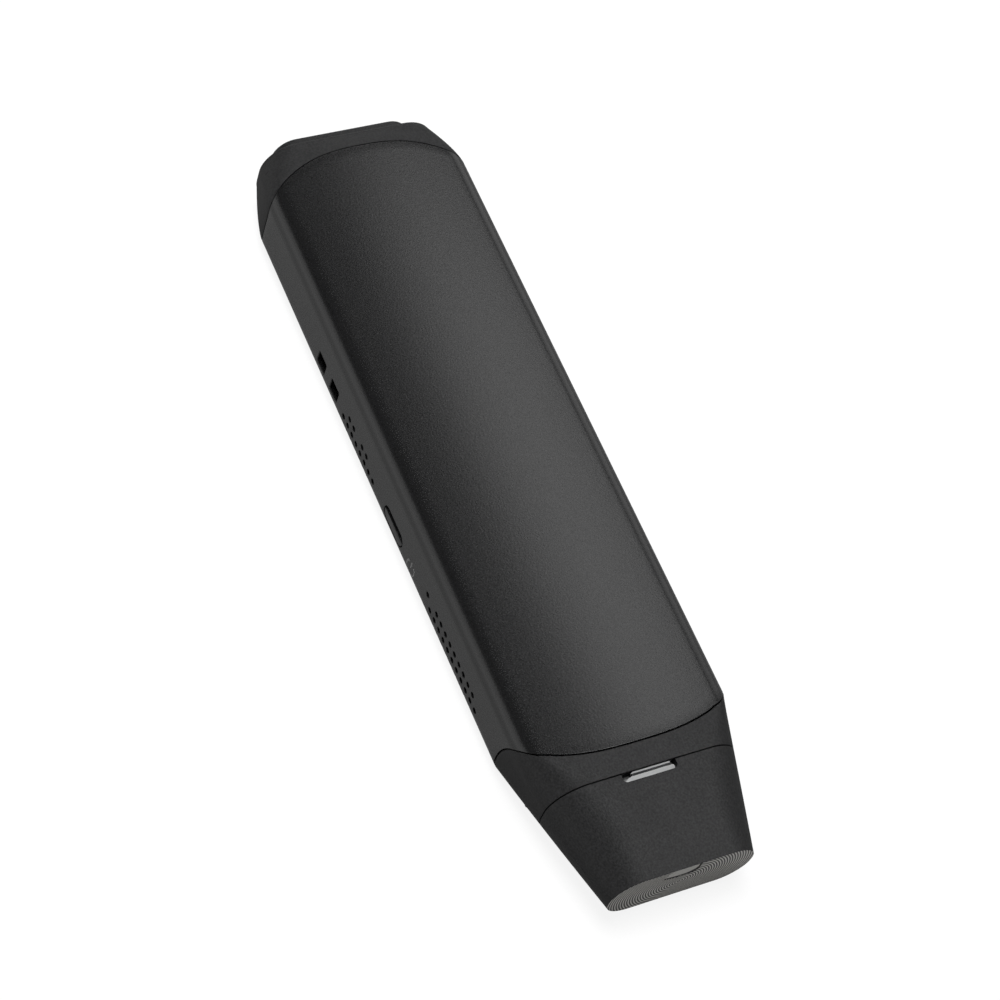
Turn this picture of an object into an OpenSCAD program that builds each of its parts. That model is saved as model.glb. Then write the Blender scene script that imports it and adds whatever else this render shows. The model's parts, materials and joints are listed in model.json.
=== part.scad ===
// Stick computer with a display plug under a pull-off cap
// The length runs along X with the plug at +X, Z is up, and z = 0 is the flat underside.

/* [Body] */
// Overall length, from the port boss to the end of the cap
overall_length = 137.9; // [134:0.1:146]
// Width of the body
body_width = 34.9; // [34:0.1:38]
// Height of the body along the middle of its top
body_height = 15; // [14.8:0.1:17]
// Radius along the two upper edges
top_fillet = 3.4; // [2.8:0.1:4]
// Radius along the two lower edges
bottom_fillet = 3.5; // [2.8:0.1:3.8]
// How much higher the top is along its middle than at its fillets
top_crown = 0.75; // [0.3:0.05:1]
// Wall thickness of the shells
wall = 1.5; // [1.2:0.1:1.7]
// Width of the groove between neighbouring shells
seam_gap = 0.2; // [0.1:0.05:0.3]
// Clearance between a piece and the pocket or hole that it sits in
fit = 0.15; // [0.1:0.05:0.2]

/* [Front end] */
// Length of the pull-off cap
cap_length = 15.65; // [15.2:0.05:17]
// Length of the collar between body and cap, along the middle of the top
collar_length = 4.2; // [3.5:0.1:5]
// How far the body's front edge falls back from its nose to its sides
front_nose_depth = 3.7; // [3:0.1:4.5]
// How far the scooped side edge lies behind the nose
scoop_set_back = 7.7; // [7:0.1:8.5]
// Radius of the scooped side edge
scoop_radius = 11.4; // [11.2:0.1:12.5]
// Height of the rearmost point of the scooped side edge
scoop_height = 4.5; // [4:0.1:5.5]
// Width of the front where the cap meets the collar
shoulder_width = 31.5; // [31:0.1:32.5]
// How far the top has come down where the cap meets the collar
shoulder_drop = 0.4; // [0.2:0.05:0.6]
// How far the underside has come up where the cap meets the collar
shoulder_lift = 0.5; // [0.3:0.05:0.9]
// Corner radius where the cap meets the collar
shoulder_corner = 6; // [5:0.1:6.4]
// Width of the cap's end face
end_width = 23.8; // [23:0.1:26]
// Height of the cap's end face
end_height = 10; // [9.6:0.1:10.8]
// Corner radius of the cap's end face
end_corner = 4.7; // [3.5:0.1:4.8]
// Height of the middle of the end face, plug and rear ports
port_axis_z = 7.4; // [7.3:0.05:7.6]
// Width of the rim round the metal plate in the cap's end face
end_rim = 0.45; // [0.4:0.05:1]
// Thickness of the metal plate in the cap's end face
end_plate_thickness = 0.8; // [0.5:0.1:1]
// Width of the indicator window in the cap's edge
window_width = 9; // [8:0.1:11]
// Depth of the indicator window in the cap's edge
window_depth = 1.3; // [1.1:0.1:1.8]

/* [Rear end] */
// How far the port boss stands out
boss_depth = 2.7; // [2:0.1:3.2]
// Width of the port boss
boss_width = 24.2; // [23.6:0.1:24.6]
// Height of the port boss
boss_height = 8.3; // [8:0.1:8.8]
// Corner radius of the port boss
boss_corner = 3.9; // [3:0.1:4]
// Length of the rear cover along the middle of the top
rear_cover_length = 3.65; // [3.2:0.05:5]
// How far the body's rear edge falls back from its nose to its sides
rear_nose_depth = 6.1; // [5:0.1:7]
// Width of the rear cover's end
rim_width = 30.7; // [30.4:0.1:33]
// Height of the rear cover's end
rim_height = 14; // [13.6:0.1:14.4]
// Corner radius of the rear cover's end
rim_corner = 5.85; // [5:0.05:6.4]

/* [Side openings] */
// Diameter of a vent hole
vent_diameter = 1; // [0.7:0.05:1.3]
// Spacing of the vent holes
vent_pitch = 1.77; // [1.5:0.01:1.9]
// Height of the upper row of vent holes
vent_row_z = 5.9; // [5.6:0.1:6.4]
// Place of the first column of the rear vent group
rear_vent_x = -20.4; // [-21:0.1:-19.5]
// Place of the first column of the front vent group
front_vent_x = 13.9; // [13.4:0.1:14.4]
// Length of a strap slot
strap_slot_length = 3; // [2.5:0.1:3.4]
// Height of a strap slot
strap_slot_height = 2.6; // [2:0.1:2.8]
// Width of the bar between the two strap slots
strap_bar_width = 2.4; // [2:0.1:2.8]
// Place of the middle of the strap bar
strap_x = -27.6; // [-28:0.1:-27]
// Height of the middle of the strap slots
strap_z = 4.9; // [4.7:0.1:5.2]
// Length of the power button
button_length = 7; // [6:0.1:8]
// Height of the power button
button_height = 2.6; // [2.2:0.1:3]
// Place of the middle of the power button
button_x = 0.55; // [0:0.05:1.2]
// Height of the middle of the power button
button_z = 4.4; // [4.2:0.1:4.6]
// How far the button's face lies below the side of the body
button_recess = 0.4; // [0.2:0.05:0.6]
// How far the button can be pressed
button_travel = 0.4; // [0.2:0.05:0.5]

/* [Board] */
// Height of the underside of the main board
board_z = 3.5; // [3.3:0.05:3.7]
// Thickness of the main board
board_thickness = 1; // [0.8:0.1:1.2]
// Space between the main board and the side walls
board_margin = 0.8; // [0.5:0.1:1.1]
// Size of the processor package
processor_size = [17, 17, 1]; // [0.6:0.1:18]
// Thickness of the thermal pad
pad_thickness = 0.5; // [0.3:0.1:0.8]
// How far the heat sink reaches past the processor, along the length and across
heat_sink_margin = [3, 1.5]; // [1:0.1:3.5]
// Thickness of the heat sink's base
heat_sink_base = 1.2; // [0.8:0.1:1.5]
// Height of the heat sink's fins
fin_height = 4.6; // [3:0.1:5]
// Number of fins
fin_count = 9; // [5:1:11]
// Thickness of a fin
fin_thickness = 0.6; // [0.4:0.1:0.9]

/* [Blower] */
// Length of the blower's housing
blower_length = 23.4; // [22:0.1:23.6]
// Width of the blower's housing
blower_width = 20; // [19.6:0.1:20.4]
// Height of the blower's housing without its lid
blower_height = 6.8; // [6:0.1:7.4]
// Radius of the impeller
impeller_radius = 8.4; // [7.6:0.1:8.6]
// Radius of the impeller's hub
hub_radius = 4.4; // [4.2:0.1:4.8]
// Number of impeller blades
blade_count = 13; // [7:1:17]
// Diameter of the blower's shaft
shaft_diameter = 1.2; // [1:0.1:1.4]
// Running clearance round the shaft
shaft_clearance = 0.05; // [0.02:0.01:0.09]

/* [Connectors] */
// Width of the display plug
plug_width = 13.9; // [13.5:0.1:14.2]
// Height of the display plug
plug_height = 4.45; // [4.2:0.05:4.6]
// How far the display plug stands out of its seat
plug_reach = 10.9; // [10:0.1:11]
// Width of a standard port's shell
usb_width = 13.1; // [12.8:0.1:13.3]
// Height of a standard port's shell
usb_height = 5.7; // [5.5:0.1:5.9]
// Depth of a standard port's shell
usb_depth = 14; // [12:0.1:14.2]
// Thickness of the connectors' sheet metal
sheet = 0.3; // [0.2:0.05:0.4]
// Place of the middle of the rear port across the width
rear_usb_y = -4.3; // [-4.5:0.1:-4]
// Distance from the rear screw post to the middle of the side port
side_usb_set_back = 13; // [12:0.1:13.5]
// Width of the power socket
power_width = 7.5; // [7:0.1:8]
// Height of the power socket
power_height = 2.7; // [2.5:0.1:3]
// Depth of the power socket
power_depth = 5.6; // [5:0.1:6]
// Place of the middle of the power socket along the length
power_x = -18; // [-18.5:0.1:-17.5]
// Bore of the audio jack
jack_bore = 3.6; // [3.55:0.01:3.7]
// Depth of the audio jack's bore
jack_bore_depth = 10.5; // [9:0.1:11]
// Width of the audio jack
jack_width = 6.2; // [5.8:0.1:6.4]
// Length of the audio jack
jack_length = 12.4; // [12:0.1:13]
// Place of the middle of the audio jack across the width
jack_y = 7; // [6.8:0.1:7.2]

/* [Hidden] */
$fn = 64;
nose_power = 2.7;
nose_steps = 16;
arc_steps = 8;
crown_steps = 12;
far = 200;
sliver = 0.02;
over = 1;
half_length = overall_length / 2;
half_width = body_width / 2;
inner_half = half_width - wall;

// Stations along the length
cap_seam_x = half_length - cap_length;
front_nose_x = cap_seam_x - collar_length;
scoop_x = front_nose_x - scoop_set_back;
scoop_inner = 14.2;
rim_x = boss_depth - half_length;
rear_nose_x = rim_x + rear_cover_length;
rear_side_x = rear_nose_x + rear_nose_depth;

// Crowned top: one wide arc that runs smoothly into both upper fillets
crown_half = half_width - top_fillet;
crown_radius = (crown_half * crown_half + top_crown * top_crown) / (2 * top_crown);
crown_z = body_height - crown_radius;
crown_angle = asin(crown_half / (crown_radius - top_fillet));
corner_z = crown_z + (crown_radius - top_fillet) * cos(crown_angle);

// Form of the front where the cap meets the collar
shoulder_top_z = body_height - shoulder_drop;
shoulder_height = shoulder_top_z - shoulder_lift;

// Heights inside the body
board_top = board_z + board_thickness;
pad_z = board_top + processor_size[2];
pad_inset = 1;
heat_sink_z = pad_z + pad_thickness;
board_half = inner_half - board_margin;

// Underside cover and the posts that it is screwed to
cover_side_margin = 4.1;
cover_half = half_width - cover_side_margin;
cover_rear_margin = 2.9;
cover_front_margin = 1.1;
cover_rear_x = rear_side_x + cover_rear_margin;
cover_front_x = scoop_x - cover_front_margin;
cover_corner = 2;
post_radius = 2.2;
post_side_margin = 2.7;
post_y = cover_half - post_side_margin;
rear_post_set_back = 4.6;
front_post_set_back = 2.6;
rear_post_x = cover_rear_x + rear_post_set_back;
front_post_x = cover_front_x - front_post_set_back;
side_usb_x = rear_post_x + side_usb_set_back;
screw_radius = 1;
cover_screw_length = 8;
cover_head_radius = 1.9;
cover_head_height = 1;
pilot_clearance = 0.05;
recess_length = 1.2;
recess_width = 0.28;

// Board posts and their screws
board_post_radius = 1.9;
board_screw_radius = 0.8;
board_screw_length = 4.5;
board_head_radius = 1.6;
board_head_height = 0.9;
board_clearance = 0.4;

// Collar, spigot and the cap's hollows
collar_tongue_x = cover_front_x;
collar_half = 12.4;
collar_low_z = 2.9;
collar_top_z = 12.5;
collar_corner = 1.5;
collar_end_wall = 1.5;
spigot_width = 25.6;
spigot_height = 9.1;
spigot_corner = 3;
spigot_raise = 0.2;
spigot_z = port_axis_z + spigot_raise;
spigot_reach = 2;
spigot_end_x = cap_seam_x + spigot_reach;
cap_floor = 1.25;
mouth_room = 0.9;
mouth_end_x = spigot_end_x + mouth_room;
liner_width = 19.3;
liner_height = 6.2;
liner_corner = 1.5;
hollow_end_x = half_length - end_plate_thickness - cap_floor;
end_plate_width = end_width - 2 * end_rim;
end_plate_height = end_height - 2 * end_rim;
end_plate_corner = end_corner - end_rim;
end_plate_recess = 0.15;
plug_tip_x = spigot_end_x + plug_reach;
plug_chamfer = [1.6, 1.9];

// Light guide from the lamp on the board to the window in the cap
guide_room = 0.3;
guide_half = window_width / 2 - guide_room;
guide_thickness = 1.2;
guide_low_z = collar_top_z - guide_thickness - guide_room;
guide_leg_set_back = 0.9;
guide_leg_x = scoop_x - guide_leg_set_back;
guide_face_drop = 0.45;
guide_face_z = cap_top_z(cap_seam_x + window_depth / 2) - guide_face_drop;
lamp_size = [1.2, 3.2, 0.55];

// Plug block on the board behind the display plug
plug_block_x = guide_leg_x + guide_thickness + guide_room;
plug_block_end_x = cap_seam_x - collar_end_wall - fit;
plug_block_half = 8.2;
plug_block_roof = 0.6;
plug_block_top = port_axis_z + plug_height / 2 + plug_block_roof;
plug_seat_wall = 3;
plug_inner_x = plug_block_x + plug_seat_wall;
plug_slot = [11.2, 1.9];
plug_slot_depth = 8.5;
plug_lip = 0.4;
plug_contact = [0.5, 0.2];
plug_contact_pitch = 1;
plug_contact_set_back = 1.2;
plug_contact_rows = [9, 10];

// Rear cover and the bezel round the rear ports
rear_half = 13.4;
rear_low_z = 2.45;
rear_top_z = 12.4;
rear_corner = 2.2;
rear_wall = 1.65;
rear_inner_x = rim_x + rear_wall;
rear_tongue = 1;
rear_tongue_x = rear_side_x + rear_tongue;
bezel_flange = [1.15, 0.7];
bezel_flange_thickness = 1;
rim_drop = 0.27;
rim_z = port_axis_z - rim_drop;
edge_round = 0.5;
port_recess = 0.5;
rear_port_x = port_recess - half_length;
side_port_y = half_width - port_recess;
jack_nozzle_radius = 2.6;
jack_nozzle_length = 2.4;
jack_tab_size = [1.4, 0.5, 1.6];
jack_tab_places = [6.4, 10.2];

// Inside of the ports
usb_tongue_size = [11.1, 1.8];
usb_tongue_low = 3.2;
usb_tongue_set_back = 1;
usb_back_block = 4;
usb_contact = [1, 0.25];
usb_contact_places = [-3.5, -1, 1, 3.5];
usb_contact_set_back = 2;
power_corner = 0.8;
power_tongue_size = [3.8, 0.7];
power_tongue_drop = 0.5;
power_tongue_z = board_top + power_height - sheet - power_tongue_drop - power_tongue_size[1];
power_back_block = 1.8;
power_back_y = side_port_y - power_depth + sheet;
power_contact = [0.4, 0.15];
power_contact_pitch = 0.65;
power_contact_count = 5;

// Button, switch and plunger follow each other inwards from the side wall
button_flange = 0.7;
button_flange_thickness = 0.8;
button_play = 0.2;
button_face_y = button_recess - half_width;
button_flange_y = button_play - inner_half;
button_back_y = button_flange_y + button_flange_thickness;
plunger_gap = 0.02;
plunger_size = [2.6, 1.4];
plunger_reach = 0.9;
plunger_stem = 1.2;
plunger_flange = 0.5;
plunger_y = button_back_y + plunger_gap;
switch_y = plunger_y + plunger_reach;
switch_size = [6.4, 3.5, 3.6];

// Columns of each row of vent holes, from the upper row down
rear_vent_rows = [[for (c = [1:5]) if (c != 3) c], [0:7], [1:6]];
front_vent_rows = [[for (c = [0:10]) if (c != 1) c], [1:11], [0:10]];

// Strap pocket behind the two slots
strap_half = strap_slot_length + strap_bar_width / 2;
strap_pocket_depth = 2.9;
strap_pocket_wall = 1;
strap_pocket_y = strap_pocket_depth + strap_pocket_wall - inner_half;

// Blower, which sits in a bay cut out of the board
layout_gap = 0.3;
blower_wall_gap = 2.4;
blower_x = front_post_x - post_radius - layout_gap - blower_length / 2;
blower_y = blower_wall_gap + blower_width / 2 - inner_half;
blower_floor_gap = 0.1;
blower_z = wall + blower_floor_gap;
blower_base = 0.6;
blower_wall = 0.8;
blower_lid_thickness = 0.6;
blower_rim_gap = 0.7;
blower_inlet_radius = 6.2;
blower_front_x = blower_x + blower_length / 2;
blower_rear_x = blower_x - blower_length / 2;
blower_side_y = blower_y + blower_width / 2;
blower_top = blower_z + blower_height;
bay_margin = 0.7;
ear_spread = 7.5;
ear_width = 4;
ear_reach = 3.8;
ear_thickness = 1.2;
ear_hole_reach = 2;
ear_hole_y = blower_side_y + ear_hole_reach;
ear_screw_length = 3.4;
rotor_floor_gap = 0.7;
rotor_z = blower_z + blower_base + rotor_floor_gap;
rotor_disc = 0.4;
rotor_top_gap = 0.7;
hub_wall = 0.7;
hub_top = blower_top - rotor_top_gap;
shaft_floor_gap = 0.1;
shaft_low_z = blower_z + blower_base + shaft_floor_gap;
bush_radius = 1.4;
bush_drop = 0.6;
bush_top = hub_top - hub_wall - bush_drop;
stator_gap = 0.5;
stator_radius = hub_radius - hub_wall - stator_gap;
blade_thickness = 0.5;
blade_lean = 28;
blade_drop = 0.3;
blade_root = 0.3;
stator_drop = 0.4;

// Processor behind the blower, with its heat sink clear of the switch
heat_sink_size = [processor_size[0] + 2 * heat_sink_margin[0], processor_size[1] + 2 * heat_sink_margin[1]];
sink_switch_gap = 0.5;
sink_screw_gap = 0.5;
sink_screw_inset = 1.7;
sink_screw_x = processor_size[0] / 2 + board_screw_radius + sink_screw_gap;
sink_screw_y = heat_sink_size[1] / 2 - sink_screw_inset;
processor_place = [blower_rear_x - layout_gap - heat_sink_size[0] / 2,
    switch_y + switch_size[1] + sink_switch_gap + heat_sink_size[1] / 2];

// Small pieces on the board: size, then place of the middle
memory_size = [7.5, 9, 1];
memory_gap = 1.3;
memory_places = [for (s = [-1, 1]) processor_place + [s * (memory_size[0] + memory_gap) / 2, 0]];
radio_size = [13.4, 11, 0.8];
radio_gap = 0.4;
radio_y = -5.9;
radio_place = [rear_post_x + post_radius + radio_gap + radio_size[0] / 2, radio_y];
radio_end_x = radio_place[0] + radio_size[0] / 2;
storage_size = [13, 11.5, 1];
storage_offset = [1.5, 3.9];
storage_place = radio_place + storage_offset;
shield_size = [10.6, 9.4, 1.6];
antenna_size = [1.4, 3.2, 0.8];
antenna_set_in = 2.2;
antenna_x = rear_tongue_x + antenna_set_in;
antenna_y = 11.6;
inductor_size = [3.6, 3.6, 2];
inductor_gap = 0.5;
inductor_x = side_usb_x + usb_width / 2 + inductor_gap + inductor_size[0] / 2;
inductor_rows = [3.2, 7.6];
rear_inductor = [2.7, 4.2];
inductor_places = [[inductor_x, inductor_rows[0]], [inductor_x, inductor_rows[1]],
    [rear_post_x + rear_inductor[0], rear_inductor[1]]];
power_chip_size = [5, 5, 0.9];
power_chip_y = -2;
power_chip_place = [radio_end_x + inductor_gap + power_chip_size[0] / 2, power_chip_y];
cell_radius = 3.4;
cell_height = 2.1;
cell_offset = [-1.2, 6];
cell_place = [rear_post_x + cell_offset[0], cell_offset[1] - post_y];
capacitor_size = [1.6, 0.8, 0.8];
capacitor_pitch = 1.4;
capacitor_gap = 0.6;
capacitor_count = 4;
capacitor_row_half = ((capacitor_count - 1) * capacitor_pitch + capacitor_size[1]) / 2;
capacitor_rows = [
    processor_place - [processor_size[0] / 2 + capacitor_gap + capacitor_size[0] / 2, 0],
    [radio_end_x + capacitor_gap + capacitor_size[0] / 2,
        strap_pocket_y + capacitor_gap + capacitor_row_half],
    [blower_front_x + blower_wall_gap + capacitor_size[0] / 2, 0]];

// Places of the board's own posts
rear_board_post = [-2.2, 3];
middle_board_post = [4.6, -7];
side_board_post_inset = 3;
board_posts = [[rear_post_x + rear_board_post[0], rear_board_post[1]],
    [radio_end_x + middle_board_post[0], middle_board_post[1]],
    [blower_x, board_half - side_board_post_inset]];

// Extrudes a (y, z) outline from x0 to x1
module along_x(x0, x1) {
    translate([x0, 0, 0])
        rotate([90, 0, 90])
            linear_extrude(x1 - x0)
                children();
}

// Extrudes an (x, z) outline from y0 to y1
module along_y(y0, y1) {
    translate([0, y1, 0])
        rotate([90, 0, 0])
            linear_extrude(y1 - y0)
                children();
}

// Box between two corners
module block(low, high) {
    translate(low)
        cube(high - low);
}

// Box of a given size that stands at height z, centred on a place in plan
module chip(size, place, z) {
    translate([place[0] - size[0] / 2, place[1] - size[1] / 2, z])
        cube(size);
}

// Rectangle with round corners, centred
module rounded(w, h, r) {
    square([w - 2 * r, h], center = true);
    square([w, h - 2 * r], center = true);
    for (sx = [-1, 1], sy = [-1, 1])
        translate([sx * (w / 2 - r), sy * (h / 2 - r)])
            circle(r);
}

// Bar with round ends, centred
module stadium(w, h) {
    square([w - h, h], center = true);
    for (s = [-1, 1])
        translate([s * (w - h) / 2, 0])
            circle(h / 2);
}

function arc(cx, cz, r, from, to, steps) =
    [for (i = [0:steps]) let (a = from + (to - from) * i / steps) [cx + r * cos(a), cz + r * sin(a)]];

// Cross section of the body, set in evenly all round, with true arcs
module section(inset) {
    half = half_width - inset;
    r_top = top_fillet - inset;
    r_low = bottom_fillet - inset;
    r_crown = crown_radius - inset;
    tangent_y = r_crown * sin(crown_angle);
    intersection() {
        translate([0, crown_z])
            circle(r_crown, $fn = 720);
        translate([-tangent_y, corner_z])
            square([2 * tangent_y, body_height]);
    }
    for (s = [-1, 1]) {
        translate([s * crown_half, corner_z])
            circle(r_top);
        translate([s * (half_width - bottom_fillet), bottom_fillet])
            circle(r_low);
    }
    translate([-half, bottom_fillet])
        square([2 * half, corner_z - bottom_fillet]);
    translate([bottom_fillet - half_width, inset])
        square([body_width - 2 * bottom_fillet, bottom_fillet - inset]);
}

// The same cross section as an outline of points, for the tapered ends
function section_points() = let (low_y = half_width - bottom_fillet, top_a = 90 - crown_angle) concat(
    arc(low_y, bottom_fillet, bottom_fillet, -90, 0, arc_steps),
    arc(crown_half, corner_z, top_fillet, 0, top_a, arc_steps),
    arc(0, crown_z, crown_radius, top_a, 180 - top_a, crown_steps),
    arc(-crown_half, corner_z, top_fillet, 180 - top_a, 180, arc_steps),
    arc(-low_y, bottom_fillet, bottom_fillet, 180, 270, arc_steps));

// Height of the cap along the middle of its top
function cap_top_z(x) = shoulder_top_z - (shoulder_top_z - port_axis_z - end_height / 2)
    * (x - cap_seam_x) / cap_length;

function nose_drop(y, depth) = depth * pow(abs(y) / half_width, nose_power);

// Everything between the two curved seams, with each seam moved out by grow
module between_seams(grow) {
    reach = half_width + over;
    ys = [for (i = [-nose_steps:nose_steps]) reach * i / nose_steps];
    front = [for (y = ys) [front_nose_x + grow - nose_drop(y, front_nose_depth), y]];
    rear = [for (y = ys) [rear_nose_x - grow + nose_drop(y, rear_nose_depth), -y]];
    difference() {
        translate([0, 0, -far / 2])
            linear_extrude(far)
                polygon(concat(front, rear));
        translate([grow, 0, 0])
            side_scoop();
    }
}

// Hollow that shapes the body's front edge at both sides and across the underside
module side_scoop() {
    for (s = [-1, 1])
        along_y(s > 0 ? scoop_inner : -far, s > 0 ? far : -scoop_inner)
            scoop_disc();
    along_y(-far, far)
        intersection() {
            scoop_disc();
            translate([scoop_x - over, scoop_height - far])
                square([far, far]);
        }
}

module scoop_disc() {
    translate([scoop_x + scoop_radius, scoop_height])
        circle(scoop_radius, $fn = 96);
}

// Thin slice of the front where the cap meets the collar
module shoulder() {
    along_x(cap_seam_x - sliver / 2, cap_seam_x + sliver / 2)
        translate([0, shoulder_lift + shoulder_height / 2])
            rounded(shoulder_width, shoulder_height, shoulder_corner, $fn = 32);
}

// Outer form of the collar and the cap together
module front_form() {
    hull() {
        intersection() {
            along_x(scoop_x - collar_length, front_nose_x)
                polygon(section_points());
            between_seams(0);
        }
        shoulder();
    }
    hull() {
        shoulder();
        along_x(half_length - sliver, half_length)
            translate([0, port_axis_z])
                rounded(end_width, end_height, end_corner, $fn = 32);
    }
}

// Outer form of the rear cover without its port boss
module rear_form() {
    hull() {
        intersection() {
            along_x(rear_nose_x, rear_side_x + rear_cover_length)
                polygon(section_points());
            between_seams(0);
        }
        along_x(rim_x + edge_round, rim_x + edge_round + sliver)
            translate([0, rim_z])
                rounded(rim_width, rim_height, rim_corner, $fn = 32);
        along_x(rim_x, rim_x + sliver)
            translate([0, rim_z])
                rounded(rim_width - 2 * edge_round, rim_height - 2 * edge_round,
                    rim_corner - edge_round, $fn = 32);
    }
}

// Vent holes of one group, row by row from the top
module vent_group(x, rows) {
    for (r = [0:len(rows) - 1], c = rows[r])
        translate([x + c * vent_pitch, -inner_half + 2 * wall, vent_row_z - r * vent_pitch])
            rotate([90, 0, 0])
                cylinder(h = 4 * wall, d = vent_diameter, $fn = 24);
}

module cover_outline(grow) {
    translate([(cover_rear_x + cover_front_x) / 2, 0])
        rounded(cover_front_x - cover_rear_x + 2 * grow, 2 * (cover_half + grow), cover_corner + grow);
}

module at_cover_posts() {
    for (x = [rear_post_x, front_post_x], s = [-1, 1])
        translate([x, s * post_y, 0])
            children();
}

module at_board_posts() {
    for (p = board_posts)
        translate([p[0], p[1], 0])
            children();
}

// Screw along Z with its head at z = 0 and its shank upwards, with a cross recess
module screw(shank, length, head, head_height, sunk) {
    difference() {
        union() {
            cylinder(h = head_height, r1 = head, r2 = sunk ? shank : head, $fn = 32);
            cylinder(h = length, r = shank, $fn = 32);
        }
        for (a = [0, 90])
            rotate([0, 0, a])
                cube([recess_length * head, recess_width * head, head_height], center = true);
    }
}

// Long U-shaped shell with the vents, strap slots and port openings in its sides
module main_sleeve() {
    color([0.16, 0.16, 0.17])
        difference() {
            union() {
                difference() {
                    intersection() {
                        along_x(rear_nose_x, front_nose_x)
                            section(0);
                        between_seams(0);
                    }
                    along_x(-half_length, half_length)
                        section(wall);
                }
                intersection() {
                    union() {
                        at_cover_posts()
                            translate([0, 0, wall + fit])
                                cylinder(h = body_height, r = post_radius);
                        at_board_posts()
                            translate([0, 0, board_top])
                                cylinder(h = body_height, r = board_post_radius);
                    }
                    along_x(-half_length, half_length)
                        section(wall / 2);
                }
                block([strap_x - strap_half - strap_pocket_wall, -inner_half - wall / 2,
                        strap_z - strap_slot_height / 2 - strap_pocket_wall],
                    [strap_x + strap_half + strap_pocket_wall, strap_pocket_y,
                        strap_z + strap_slot_height / 2 + strap_pocket_wall]);
            }
            translate([0, 0, -wall])
                linear_extrude(2 * wall)
                    cover_outline(seam_gap);
            at_cover_posts()
                cylinder(h = wall + cover_screw_length, r = screw_radius + pilot_clearance, $fn = 32);
            at_board_posts()
                cylinder(h = board_z + board_screw_length,
                    r = board_screw_radius + pilot_clearance, $fn = 32);
            strap_cuts();
            along_y(-far, button_flange_y)
                translate([button_x, button_z])
                    stadium(button_length + 2 * fit, button_height + 2 * fit);
            vent_group(rear_vent_x, rear_vent_rows);
            vent_group(front_vent_x, front_vent_rows);
            mirror([0, 1, 0])
                vent_group(front_vent_x, front_vent_rows);
            block([side_usb_x - usb_width / 2 - fit, 0, board_top - fit],
                [side_usb_x + usb_width / 2 + fit, far, board_top + usb_height + fit]);
            block([power_x - power_width / 2 - fit, inner_half - wall, board_top - fit],
                [power_x + power_width / 2 + fit, far, board_top + power_height + fit]);
        }
}

// Two slots in the side and the pocket that joins them behind the strap bar
module strap_cuts() {
    low_z = strap_z - strap_slot_height / 2;
    for (s = [-1, 1])
        translate([strap_x + s * (strap_bar_width + strap_slot_length) / 2, 0, 0])
            block([-strap_slot_length / 2, -far, low_z],
                [strap_slot_length / 2, -inner_half + sliver, low_z + strap_slot_height]);
    block([strap_x - strap_half, -inner_half, low_z],
        [strap_x + strap_half, strap_pocket_y - strap_pocket_wall, low_z + strap_slot_height]);
}

// Flat cover that closes the underside
module bottom_cover() {
    color([0.13, 0.13, 0.14])
        difference() {
            linear_extrude(wall)
                cover_outline(0);
            at_cover_posts() {
                translate([0, 0, -sliver])
                    cylinder(h = wall + over, r = screw_radius + fit);
                translate([0, 0, -sliver])
                    cylinder(h = cover_head_height + fit + sliver, r1 = cover_head_radius + fit,
                        r2 = screw_radius + fit);
            }
        }
}

module cover_screws() {
    color([0.35, 0.35, 0.37])
        at_cover_posts()
            translate([0, 0, fit])
                screw(screw_radius, cover_screw_length, cover_head_radius, cover_head_height, true);
}

// Tapered cover at the port end, with a tongue inside the sleeve
module rear_cover() {
    color([0.14, 0.14, 0.15])
        difference() {
            intersection() {
                rear_form();
                union() {
                    difference() {
                        block([-far, -far, -far], [rear_tongue_x, far, far]);
                        between_seams(seam_gap);
                    }
                    along_x(rim_x, rear_tongue_x)
                        section(wall + fit);
                }
            }
            along_x(rear_inner_x, 0)
                translate([0, (rear_low_z + rear_top_z) / 2])
                    rounded(2 * rear_half, rear_top_z - rear_low_z, rear_corner);
            along_x(-far, 0)
                translate([0, port_axis_z])
                    rounded(boss_width + 2 * fit, boss_height + 2 * fit, boss_corner + fit);
        }
}

// Raised bezel round the rear ports, held by a flange behind the rear cover
module port_bezel() {
    flange_x = rear_inner_x + fit;
    color([0.12, 0.12, 0.13])
        difference() {
            union() {
                hull() {
                    along_x(edge_round - half_length, flange_x)
                        translate([0, port_axis_z])
                            rounded(boss_width, boss_height, boss_corner);
                    along_x(-half_length, sliver - half_length)
                        translate([0, port_axis_z])
                            rounded(boss_width - 2 * edge_round, boss_height - 2 * edge_round,
                                boss_corner - edge_round);
                }
                along_x(flange_x, flange_x + bezel_flange_thickness)
                    translate([0, port_axis_z])
                        rounded(boss_width + 2 * bezel_flange[0], boss_height + 2 * bezel_flange[1],
                            boss_corner);
            }
            along_x(-far, 0)
                translate([rear_usb_y, board_top + usb_height / 2])
                    square([usb_width + 2 * fit, usb_height + 2 * fit], center = true);
            translate([-far, jack_y, port_axis_z])
                rotate([0, 90, 0])
                    cylinder(h = far, r = jack_nozzle_radius + fit);
            block([rear_port_x + jack_nozzle_length - fit, jack_y - jack_width / 2 - fit, board_top - fit],
                [0, jack_y + jack_width / 2 + fit, 2 * port_axis_z - board_top + fit]);
        }
}

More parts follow.
